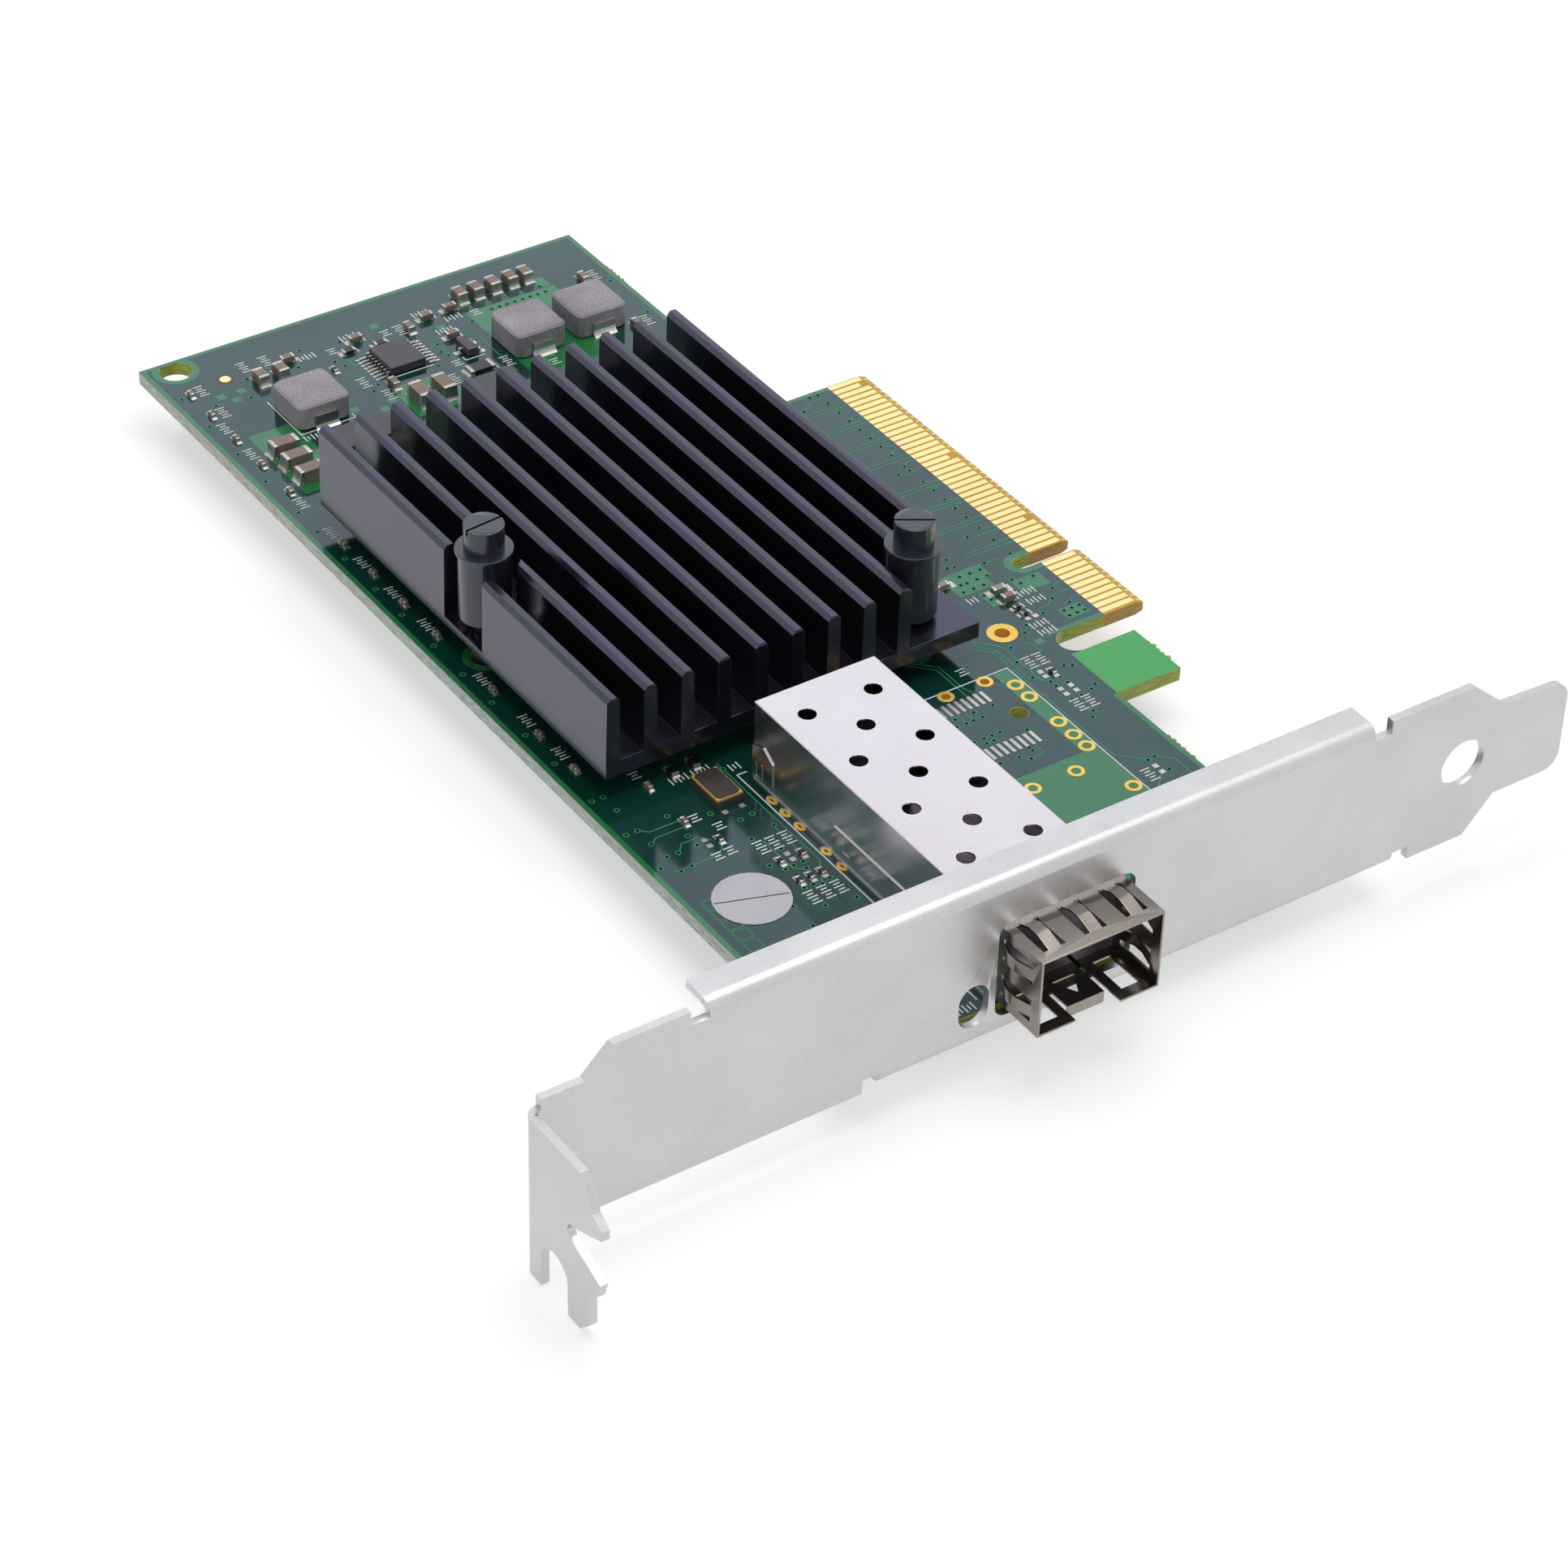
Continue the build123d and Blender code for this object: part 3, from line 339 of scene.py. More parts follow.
@dataclass(frozen=True)
class BoardFinish(Finish):
    """Green solder mask on the faces, bare glass laminate on the cut edges.

    Args:
        rim: Lighter and darker hex colour of the long front edge, dusty from the saw.
        cut: Lighter and darker hex colour of the routed edges and holes.
        tip: Lighter and darker hex colour of the tongue's edges, which no mask covers.
        front_mm: Y below which the front edge lies.
        tongue_mm: Y beyond which the tongue's bare part lies.
        tongue_end_mm: X of the tongue's end.
        weave_mm: Pitch of the glass cloth that shows through.
        fibre_mm: Length of the cut fibres along X and Y, and thickness of their layers.
        cut_roughness: Roughness of the bare laminate.
        flat_from: Upright share of the normal from which a face is masked.
        cloud_mm: Size of the slow changes of shade in the mask.
    """

    rim: tuple[str, str] = ("#E2E8DE", "#B0BAA6")
    cut: tuple[str, str] = ("#CBD24E", "#9EAA42")
    tip: tuple[str, str] = ("#E0AE4C", "#BC8A34")
    front_mm: float = -68.45
    tongue_mm: float = -5.1
    tongue_end_mm: float = 12.4
    weave_mm: float = 0.5
    fibre_mm: tuple[float, float, float] = (1.1, 1.1, 0.16)
    cut_roughness: float = 0.7
    flat_from: float = 0.97
    cloud_mm: float = 14.0

    def dress(self, tree: NodeTree, shader: Node) -> None:
        """Give faces the mask and cut edges the layered laminate.

        Args:
            tree: The material's node tree.
            shader: Its principled shader.
        """
        spot = add_node(tree, "ShaderNodeTexCoord").outputs["Object"]
        layer_scale = tuple(1 / (size * MM) for size in self.fibre_mm)
        layers = add_node(tree, "ShaderNodeMapping", {"Vector": spot, "Scale": layer_scale}).outputs[0]
        slow, fibres, cloth = [
            add_node(
                tree, "ShaderNodeTexNoise", {"Vector": vector, "Scale": scale, "Detail": detail},
            ).outputs[0]
            for vector, scale, detail in (
                (spot, 1 / (self.cloud_mm * MM), 2.0),
                (layers, 1.0, 3.0),
                (spot, 1 / (self.weave_mm * MM), 1.0),
            )
        ]
        mask, routed, sawn, bare = [
            add_node(
                tree, "ShaderNodeValToRGB", {0: noise}, stops=[(low, linear(dark)), (high, linear(light))],
            ).outputs[0]
            for noise, low, high, (light, dark) in (
                (slow, 0.35, 0.65, (self.light, self.dark)), (fibres, 0.36, 0.62, self.cut),
                (fibres, 0.36, 0.62, self.rim), (fibres, 0.36, 0.62, self.tip),
            )
        ]
        where = add_node(tree, "ShaderNodeSeparateXYZ", {0: spot})
        facing = add_node(tree, "ShaderNodeNewGeometry")
        parts = add_node(tree, "ShaderNodeSeparateXYZ", {0: facing.outputs["True Normal"]})
        upright = add_node(tree, "ShaderNodeMath", {0: parts.outputs["Z"]}, operation="ABSOLUTE")
        along, beyond, before, flat = [
            add_node(tree, "ShaderNodeMath", {0: value, 1: limit}, operation=test).outputs[0]
            for value, limit, test in (
                (where.outputs["Y"], self.front_mm * MM, "LESS_THAN"),
                (where.outputs["Y"], self.tongue_mm * MM, "GREATER_THAN"),
                (where.outputs["X"], self.tongue_end_mm * MM, "LESS_THAN"),
                (upright.outputs[0], self.flat_from, "GREATER_THAN"),
            )
        ]
        tongue = add_node(tree, "ShaderNodeMath", {0: beyond, 1: before}, operation="MULTIPLY").outputs[0]
        colour = routed
        for share, over in ((along, sawn), (tongue, bare), (flat, mask)):
            colour = add_node(
                tree, "ShaderNodeMix", {"Factor": share, 6: colour, 7: over}, data_type="RGBA",
            ).outputs[2]
        gloss = add_node(
            tree, "ShaderNodeMapRange",
            {"Value": flat, "To Min": self.cut_roughness, "To Max": self.roughness},
        )
        relief = add_node(
            tree, "ShaderNodeBump", {"Height": cloth, "Strength": 0.35, "Distance": self.bump_mm * MM},
        )
        tree.links.new(colour, shader.inputs["Base Color"])
        tree.links.new(gloss.outputs[0], shader.inputs["Roughness"])
        tree.links.new(relief.outputs[0], shader.inputs["Normal"])


class Finishes:
    """Every finish of the card, named for the real surface."""

    MASK_TINT = "#A8D2FF"
    # Liquid solder mask over copper: deep blue-green, wet gloss that mirrors the lamps
    BOARD = BoardFinish(
        "solder_mask_over_copper", "#12443A", "#0D3830", Grain.SMOOTH, 0.5, 0.12, bump_mm=0.003,
        coat=0.5, tint=MASK_TINT,
    )
    # The same mask where no copper lies under it: lamplight enters the laminate, so it is brighter
    BARE_MASK = Finish(
        "solder_mask_over_laminate", "#2F8C4C", "#25763E", Grain.SMOOTH, 0.5, 0.14, contrast=0.3,
        bump_mm=0.002, coat=0.5, tint=MASK_TINT,
    )
    # Mask over a raised copper track: a shade lighter than the pour beside it
    TRACK_MASK = Finish(
        "solder_mask_over_track", "#43996A", "#37895D", Grain.SMOOTH, 0.5, 0.14, bump_mm=0.002,
        tint=MASK_TINT,
    )
    # The mask on the tab beside the tongue, lit through its cut edges: the brightest green
    TAB_MASK = Finish(
        "solder_mask_over_clear_tab", "#3DBA44", "#33AB3B", Grain.SMOOTH, 0.5, 0.16, contrast=0.3,
        bump_mm=0.002, coat=0.5, tint=MASK_TINT,
    )
    # Bare glass laminate at the tongue's tip: yellow-brown with a dull cut look
    LAMINATE = Finish(
        "bare_glass_laminate", "#E2B234", "#C6961F", Grain.PRESSED, 0.35, 0.4, contrast=0.7,
    )
    # Etched ring without mask around the positioning mark: dark brown laminate
    ETCHED = Finish(
        "etched_laminate_ring", "#5E4A1C", "#4B3A14", Grain.PRESSED, 0.2, 0.4,
    )
    # Snapped panel tabs: torn laminate, yellow-green like the routed edge
    SNAPPED = Finish(
        "torn_glass_laminate", "#C6CC52", "#8E9A3A", Grain.PRESSED, 0.25, 0.7, contrast=0.9, bump_mm=0.03,
    )
    # Hard gold over nickel: pale yellow, bright but with fine wiping marks
    GOLD = Finish(
        "hard_gold_plate", "#FCE8B0", "#F2D690", Grain.ROLLED, 0.12, 0.28, metallic=1.0, contrast=0.6,
        bump_mm=0.002,
    )
    # Immersion gold on the hole rings: deeper yellow than the contacts
    RING_GOLD = Finish(
        "immersion_gold", "#FADC78", "#F0C650", Grain.SMOOTH, 0.3, 0.38, metallic=0.5, contrast=0.6,
    )
    # Plating down a hole's wall: orange gold, roughened by the drill so that it glows
    BARREL = Finish(
        "drilled_barrel_gold", "#FFD262", "#F4B738", Grain.PRESSED, 0.2, 0.5, metallic=0.1, contrast=0.6,
    )
    # Tinned ends and reflowed solder: whitish satin, lumpy at a tenth of a millimetre
    TIN = Finish(
        "reflowed_tin", "#CFCDC8", "#A19F9B", Grain.PRESSED, 0.25, 0.36, metallic=1.0, contrast=0.8,
        bump_mm=0.02,
    )
    # Black anodised aluminium extrusion: satin, faint die lines, grey-violet sheen
    ANODISED = Finish(
        "black_anodised_aluminium", "#1B1A20", "#121116", Grain.DRAWN, 0.18, 0.2,
        contrast=0.5, bump_mm=0.004, ior=1.77, coat=0.15, tint="#CDCFFF",
    )
    # Filled silicone pad: matt grey
    PAD = Finish("silicone_thermal_pad", "#8C8E92", "#74767A", Grain.PRESSED, 0.2, 0.8)
    # Chip carrier: green laminate with a thin mask
    CARRIER = Finish("chip_carrier_laminate", "#2E6B3C", "#235A31", Grain.SMOOTH, 0.4, 0.35)
    # Polished silicon: dark grey mirror
    SILICON = Finish(
        "polished_silicon", "#4A4C55", "#3E4048", Grain.SMOOTH, 0.4, 0.08, spread=0.02, ior=3.0,
    )
    # Nickel plated copper or steel: warm grey satin
    NICKEL = Finish(
        "satin_nickel_plate", "#C9C5BC", "#AFABA2", Grain.ROLLED, 0.15, 0.28, metallic=1.0, contrast=0.5,
    )
    # Moulded black nylon: bluish black, soft shine with fine mould texture
    NYLON = Finish(
        "moulded_black_nylon", "#292B38", "#1F212C", Grain.MOULDED, 0.15, 0.34, contrast=0.5,
        bump_mm=0.01, ior=1.53, coat=0.6, tint="#DCE2FF",
    )
    # Drawn spring steel wire: bright grey
    SPRING = Finish("drawn_spring_steel", "#B5B3B0", "#8E8C8A", Grain.ROLLED, 0.1, 0.3, metallic=1.0)
    # Bright nickel silver sheet of the cage: nearly white where it faces the lamps, dark mirror elsewhere
    CAGE = CageFinish(
        "bright_cage_sheet", "#DCD7DC", "#CFC9CE", Grain.ROLLED, 0.2, 0.22, spread=0.015,
        metallic=1.0, contrast=0.4, bump_mm=0.0008,
    )
    # High-temperature moulding of the cage connector: dull black
    CONNECTOR = Finish("black_glass_filled_moulding", "#26262A", "#1B1B1F", Grain.MOULDED, 0.2, 0.5)
    # Zinc plated steel sheet: light grey satin with a fine cloudy grain
    BRACKET = Finish(
        "satin_zinc_plate", "#CECECF", "#BEBEC0", Grain.PRESSED, 0.3, 0.36, metallic=1.0, contrast=0.5,
        bump_mm=0.006,
    )
    # Pressed iron powder of the inductors: warm grey, grainy and matt
    POWDER = Finish(
        "pressed_iron_powder", "#BEB6BF", "#8A848C", Grain.PRESSED, 0.16, 0.6, contrast=1.0, bump_mm=0.014,
    )
    # Moulded epoxy of chips: charcoal with a fine spark-eroded texture
    EPOXY = Finish(
        "moulded_epoxy", "#444150", "#34323D", Grain.MOULDED, 0.12, 0.45, contrast=0.7,
        bump_mm=0.008, coat=0.2,
    )
    # Fired ceramic base of the crystal
    CERAMIC = Finish("fired_dark_ceramic", "#4C443C", "#3B342D", Grain.MOULDED, 0.2, 0.45)
    # Seam-welded metal lid of the crystal: dark, brushed
    CRYSTAL = Finish(
        "brushed_dark_lid", "#5E5856", "#45403E", Grain.ROLLED, 0.1, 0.42, metallic=0.6, contrast=0.6,
    )
    # Coated paper sticker: off-white with a slight satin
    PAPER = Finish("coated_paper", "#D4D3DC", "#C8C7D0", Grain.MOULDED, 0.2, 0.5, contrast=0.6)
    # Clear epoxy of the link lights
    LENS = Finish("clear_led_epoxy", "#E4E6C0", "#CDD09A", Grain.SMOOTH, 0.3, 0.12, glow=0.5)
    # Fired capacitor ceramic: brown grey with a soft glaze
    CAPACITOR = Finish(
        "fired_capacitor_ceramic", "#9A8578", "#7C695D", Grain.MOULDED, 0.18, 0.4, contrast=0.8,
    )
    # Glazed resistor film: near black, shiny
    RESISTOR = Finish("glazed_resistor_film", "#25242A", "#1A191E", Grain.SMOOTH, 0.2, 0.28)
    # Fuse body: pale greenish ceramic
    FUSE = Finish("fuse_ceramic", "#A8A99C", "#8F9084", Grain.MOULDED, 0.2, 0.45)
    # Screen-printed legend: flat white ink, a little rough at its edges
    INK = Finish("screen_printed_ink", "#F4F7F4", "#DCE2DE", Grain.MOULDED, 0.08, 0.6, contrast=0.9)
    # Drilled via: a near-black disc of painted shade over the plated hole under the mask, with its reflection
    # dimmed too
    VIA = Finish("via_hole_painted_shade", "#0A1F15", "#05140D", Grain.SMOOTH, 0.1, 0.8, tint="#2A2A2A")
    # Printed rule on the sticker: dark grey ink
    RULE = Finish("dark_sticker_ink", "#4C4B55", "#3F3E47", Grain.MOULDED, 0.1, 0.6)


# Finish by how a node's name ends; the first that fits counts
FINISH_OF_ENDINGS = {
    "circuit_board": Finishes.BOARD,
    ("edge_contacts_top", "edge_contacts_bottom", "connector_contacts", "fiducial_mark"): Finishes.GOLD,
    "crystal_rim": Finishes.RING_GOLD,
    "crystal_base": Finishes.CERAMIC,
    "crystal_lid": Finishes.CRYSTAL,
    "heat_sink": Finishes.ANODISED,
    "thermal_pad": Finishes.PAD,
    "controller_carrier": Finishes.CARRIER,
    "controller_die": Finishes.SILICON,
    ("controller_lid", "bracket_screws"): Finishes.NICKEL,
    ("push_pin_cores", "push_pin_sleeves"): Finishes.NYLON,
    "push_pin_springs": Finishes.SPRING,
    ("module_cage", "cage_floor"): Finishes.CAGE,
    "module_connector": Finishes.CONNECTOR,
    "bracket": Finishes.BRACKET,
    "inspection_sticker": Finishes.PAPER,
    "link_light_lenses": Finishes.LENS,
    "inductor_bodies": Finishes.POWDER,
    ("polymer_capacitor_bodies", "_body"): Finishes.EPOXY,
    "capacitor_bodies": Finishes.CAPACITOR,
    "resistor_bodies": Finishes.RESISTOR,
    "fuse_bodies": Finishes.FUSE,
    ("controller_solder", "solder_pads", "_ends", "_leads", "_terminals"): Finishes.TIN,
}


class Axis(Enum):
    """Direction in which a chip lies or a mark runs."""

    X = (1.0, 0.0)
    Y = (0.0, 1.0)


class Shaper:
    """Collects plates, ribbons, rings and wedges into one mesh, in millimetres."""

    def __init__(self) -> None:
        """Start with an empty mesh."""
        self.mesh = bmesh.new()

    def solid(self, near: list[Corner], far: list[Corner]) -> None:
        """Add a body between two faces.

        Args:
            near: Corners of one face in order.
            far: Corners of the other, each across from its partner.
        """
        first = [self.mesh.verts.new(corner) for corner in near]
        second = [self.mesh.verts.new(corner) for corner in far]
        self.mesh.faces.new(first)
        self.mesh.faces.new(second[::-1])
        for step in range(len(first)):
            after = (step + 1) % len(first)
            self.mesh.faces.new((first[step], second[step], second[after], first[after]))

    def prism(self, outline: list[Point], low: float, high: float) -> None:
        """Add an upright plate.

        Args:
            outline: Corners in order, seen from above.
            low: Height of its underside.
            high: Height of its top.
        """
        self.solid([(x, y, low) for x, y in outline], [(x, y, high) for x, y in outline])

    def block(self, x0: float, y0: float, x1: float, y1: float, low: float, high: float) -> None:
        """Add a plate between two opposite corners."""
        self.prism([(x0, y0), (x1, y0), (x1, y1), (x0, y1)], low, high)

    def square(self, x: float, y: float, half_x: float, half_y: float, low: float, high: float) -> None:
        """Add a plate around its middle."""
        self.block(x - half_x, y - half_y, x + half_x, y + half_y, low, high)

    def ribbon(self, path: list[Point], width: float, low: float, high: float) -> None:
        """Add a flat strip along a bent line, with mitred corners.

        Args:
            path: Points of its middle line.
            width: Its width.
            low: Height of its underside.
            high: Height of its top.
        """
        left, right = [], []
        for step, (x, y) in enumerate(path):
            before = path[max(step - 1, 0)]
            after = path[min(step + 1, len(path) - 1)]
            into = Vector((x - before[0], y - before[1]))
            out = Vector((after[0] - x, after[1] - y))
            into = out if into.length == 0 else into
            out = into if out.length == 0 else out
            into.normalize()
            out.normalize()
            across = Vector((-into.y - out.y, into.x + out.x)).normalized()
            reach = width / 2 / max(0.5, across.dot(Vector((-into.y, into.x))))
            left.append((x + across.x * reach, y + across.y * reach))
            right.append((x - across.x * reach, y - across.y * reach))
        for step in range(len(path) - 1):
            self.prism([right[step], right[step + 1], left[step + 1], left[step]], low, high)

    def ring(
        self, centre: Point, outer: float, inner: float, low: float, high: float, sides: int = 24,
    ) -> None:
        """Add a round washer.

        Args:
            centre: Its middle.
            outer: Its outer radius.
            inner: Radius of its hole.
            low: Height of its underside.
            high: Height of its top.
            sides: How many flats go around it.
        """
        x, y = centre
        turns = [2 * math.pi * step / sides for step in range(sides)]
        rows = []
        for radius, level in ((outer, low), (outer, high), (inner, high), (inner, low)):
            rows.append([
                self.mesh.verts.new((x + radius * math.cos(turn), y + radius * math.sin(turn), level))
                for turn in turns
            ])
        for row, after in zip(rows, rows[1:] + rows[:1]):
            for step in range(sides):
                other = (step + 1) % sides
                self.mesh.faces.new((row[step], row[other], after[other], after[step]))

    def disc(self, centre: Point, radius: float, low: float, high: float, sides: int) -> None:
        """Add a round plate.

        Args:
            centre: Its middle.
            radius: Its radius.
            low: Height of its underside.
            high: Height of its top.
            sides: How many flats go around it.
        """
        turns = [2 * math.pi * step / sides for step in range(sides)]
        x, y = centre
        outline = [(x + radius * math.cos(turn), y + radius * math.sin(turn)) for turn in turns]
        self.prism(outline, low, high)

    def slab(self, corners: list[Corner], depth: float) -> None:
        """Add a thin plate whose face has any slope.

        Args:
            corners: Corners of its face in order.
            depth: How far it goes down from there; below zero for up.
        """
        self.solid(corners, [(x, y, z - depth) for x, y, z in corners])

    def wall(self, outline: list[Point], near: float, far: float) -> None:
        """Add a plate that stands upright, facing along Y.

        Args:
            outline: Corners as X and Z.
            near: Y of one face.
            far: Y of the other.
        """
        self.solid([(x, near, z) for x, z in outline], [(x, far, z) for x, z in outline])

    def wedge(self, edge: tuple[Point, Point], out: Point, low: float, rise: float, reach: float) -> None:
        """Add a hollow-faced fillet of solder against an upright end.

        Args:
            edge: The two ends of the line where the part meets the board.
            out: Unit direction away from the part.
            low: Height of the board.
            rise: Height of the fillet on the part.
            reach: Reach of the fillet on the board.
        """
        profile = [(0.0, 0.0), (1.0, 0.0), (0.45, 0.25), (0.15, 0.6), (0.0, 1.0)]
        self.solid(*[
            [(x + out[0] * reach * far, y + out[1] * reach * far, low + rise * up) for far, up in profile]
            for x, y in edge
        ])

    def finish(self, name: str, finish: Finish, slot: str) -> Object:
        """Turn the mesh into a piece that rides on the card.

        Args:
            name: Name of the piece.
            finish: Its surface.
            slot: Not used.

        Returns:
            The new object.
        """
        bmesh.ops.recalc_face_normals(self.mesh, faces=self.mesh.faces)
        data = bpy.data.meshes.new(name)
        bmesh.ops.scale(self.mesh, vec=(MM, MM, MM), verts=self.mesh.verts)
        self.mesh.to_mesh(data)
        self.mesh.free()
        piece = add_object(name, data)
        data.materials.append(finish.material())
        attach(piece, "root")
        log.info("%s: %d faces", name, len(data.polygons))
        return piece


SOFT_TURN = math.radians(32)
BEVEL_TURN = math.radians(35)
WELD_GAP_MM = 0.001


def round_shading() -> NodeTree:
    """Shade faces smoothly across shallow edges, once for all objects.

    Returns:
        Node group of the modifier.
    """
    known = bpy.data.node_groups.get("round_shading")
    if known:
        return known
    group = bpy.data.node_groups.new("round_shading", "GeometryNodeTree")
    group.interface.new_socket("Geometry", in_out="INPUT", socket_type="NodeSocketGeometry")
    group.interface.new_socket("Geometry", in_out="OUTPUT", socket_type="NodeSocketGeometry")
    start = add_node(group, "NodeGroupInput")
    soft = add_node(group, "GeometryNodeSetShadeSmooth", {"Geometry": start.outputs[0], "Shade Smooth": True})
    angle = add_node(group, "GeometryNodeInputMeshEdgeAngle")
    sharp = add_node(
        group, "FunctionNodeCompare", {0: angle.outputs["Unsigned Angle"], 1: SOFT_TURN},
        operation="GREATER_THAN",
    )
    edges = add_node(
        group, "GeometryNodeSetShadeSmooth",
        {"Geometry": soft.outputs[0], "Selection": sharp.outputs[0], "Shade Smooth": False}, domain="EDGE",
    )
    add_node(group, "NodeGroupOutput", {0: edges.outputs[0]})
    return group


def shade_round(piece: Object) -> None:
    """Give an object the modifiers that shade its round faces smoothly and keep its flats flat."""
    piece.modifiers.new("round", "NODES").node_group = round_shading()
    piece.modifiers.new("flats", "WEIGHTED_NORMAL").keep_sharp = True


@dataclass
class PackedNodes:
    """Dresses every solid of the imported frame.

    Args:
        edge_mm: Width of the softened edges, by node.
    """

    edge_mm: dict[str, float] = field(default_factory=lambda: {
        "bracket": 0.14, "heat_sink": 0.24, "module_cage": 0.05, "cage_floor": 0.05,
        "push_pin_cores": 0.12, "push_pin_sleeves": 0.1, "inductor_bodies": 0.06,
        "polymer_capacitor_bodies": 0.12, "power_chip_body": 0.08, "transistor_body": 0.06,
        "bulk_capacitor_bodies": 0.06, "bulk_capacitor_ends": 0.12, "filter_capacitor_bodies": 0.05,
        "filter_capacitor_ends": 0.1, "small_capacitor_bodies": 0.04, "small_capacitor_ends": 0.07,
        "tiny_capacitor_ends": 0.05, "tiny_resistor_ends": 0.04, "fuse_ends": 0.09,
        "sense_resistor_ends": 0.08, "small_resistor_ends": 0.06, "module_connector": 0.08,
        "crystal_base": 0.06, "crystal_lid": 0.05, "bracket_screws": 0.08, "circuit_board": 0.05,
        "controller_lid": 0.1, "edge_contacts_top": 0.02, "edge_contacts_bottom": 0.02,
    })

    def build(self) -> None:
        """Give every node its finish, and soften its edges where they show."""
        for name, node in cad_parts.items():
            finish = next(value for ends, value in FINISH_OF_ENDINGS.items() if name.endswith(ends))
            node.data.materials.clear()
            node.data.materials.append(finish.material())
            if name in self.edge_mm:
                self.soften(node, self.edge_mm[name])
                shade_round(node)
            log.info("%s: %s", name, finish.name)

    def soften(self, node: Object, width: float) -> None:
        """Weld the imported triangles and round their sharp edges.

        Args:
            node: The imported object.
            width: Width of the rounded edge in millimetres.
        """
        weld = node.modifiers.new("weld", "WELD")
        weld.merge_threshold = WELD_GAP_MM * MM
        bevel = node.modifiers.new("edge", "BEVEL")
        bevel.width = width * MM
        bevel.segments = 2
        bevel.limit_method = "ANGLE"
        bevel.angle_limit = BEVEL_TURN


@dataclass
class BoardArtwork:
    """Copper, mask, holes and legend on the board's faces.

    Args:
        border: Width of the strip without copper along the board's edges.
        track_start: Y where the tracks leave the contacts.
        track_width: Width of an ordinary track.
        via_radius: Radius of a via's pad.
        via_mouth: Radius of the disc of painted shade over its hole.
        ring_radius: Radius of the gold ring around a plated hole.
        ring_hole: Radius of that hole.
        ring_proud: How far a gold ring stands above the board.
        line_width: Width of a printed line.
        stroke_pitch: Distance between the strokes of a plain mark.
        stroke_half: Half of a stroke's width.
        stroke_reach: Half the length of its long and of its short strokes.
    """

    border: float = 0.6
    track_start: float = -5.2
    track_width: float = 0.16
    via_radius: float = 0.34
    via_mouth: float = 0.19
    ring_radius: float = 0.9
    ring_hole: float = 0.55
    ring_proud: float = 0.045
    line_width: float = 0.16
    stroke_pitch: float = 0.46
    stroke_half: float = 0.08
    stroke_reach: Point = (0.58, 0.36)

    def build(self) -> None:
        """Make every layer of the artwork."""
        self.clearings()
        self.tracks()
        self.vias()
        self.plated_holes()
        self.legend()
        self.tongue()

    def clearings(self) -> None:
        """Areas with no copper under the mask."""
        shape, tab, etched = Shaper(), Shaper(), Shaper()
        low, high, over = BOARD_TOP, MASK_TOP, COLLAR_TOP
        inner_left, inner_front = BOARD_LEFT + self.border, BOARD_FRONT + self.border
        inner_rear = BOARD_REAR - self.border
        left, near, right, far = CLEAR_TAB
        boxes = [
            # Strips along the board's edges
            (BOARD_LEFT, BOARD_FRONT, BOARD_RIGHT, inner_front),
            (BOARD_LEFT, inner_front, inner_left, inner_rear),
            (BOARD_LEFT, inner_rear, TAB_LEFT, BOARD_REAR),
            (right, inner_rear, BOARD_RIGHT, BOARD_REAR),
            # The empty second port, and both ends of the tongue
            (14.6, -21.3, 30.0, -19.5), (30.0, -36.8, BOARD_RIGHT, -19.5),
            (TAB_LEFT, BOARD_REAR, -38.4, MASK_END), (11.6, BOARD_REAR, TAB_RIGHT, MASK_END),
            # Around the vias beside the tongue, and under the power stage
            (2.2, -10.0, 4.6, -6.4), (8.9, -8.8, 10.9, -6.0), (-2.2, -16.1, 0.2, -10.9),
            (0.2, -16.1, 1.8, -11.6), (2.3, -14.2, 5.0, -13.0), (12.0, -14.2, 12.9, -13.2),
            (-73.4, -31.4, -58.0, -19.7), (-75.6, -31.2, -74.6, -30.3), (-75.6, -21.2, -73.6, -19.9),
            (-64.2, -46.6, -57.6, -39.7), (-64.0, -64.6, -51.0, -59.0),
        ]
        for box in boxes:
            shape.block(*box, low, high)
        for x, y in ((-72.5, -60.7), (-71.2, -62.0), (-72.5, -63.2), (-76.4, -41.6), (-62.0, -47.5),
                     (-61.0, -49.0), (-72.2, -35.2), (-62.6, -52.0)):
            shape.square(x, y, 0.5, 0.5, low, high)
        shape.ring(CORNER_HOLE, 2.65, 1.9, low, over, 32)
        # The corner hole's ring would reach past the board's edge
        for vert in shape.mesh.verts:
            vert.co.x = max(vert.co.x, BOARD_LEFT + 0.02)
        for place in SINK_PINS:
            shape.ring(place, 2.5, 1.65, low, over, 32)
        bend, bend_y = 1.4, -7.05
        turns = [math.pi * (1 + step / 12) for step in range(13)]
        notch = [(bend * math.cos(turn), bend_y + bend * math.sin(turn)) for turn in turns]
        shape.ribbon([(-bend, self.track_start), *notch, (bend, self.track_start)], 0.8, low, over)
        shape.finish("mask_clearings", Finishes.BARE_MASK, "board_laminate")
        inset = 0.02
        tab.block(left + inset, near, right - inset, far - inset, low, high)
        tab.finish("clear_tab_mask", Finishes.TAB_MASK, "board_laminate")
        etched.ring(middle("fiducial_mark"), 0.95, 0.6, low, high)
        etched.finish("etched_ring", Finishes.ETCHED, "board_laminate")

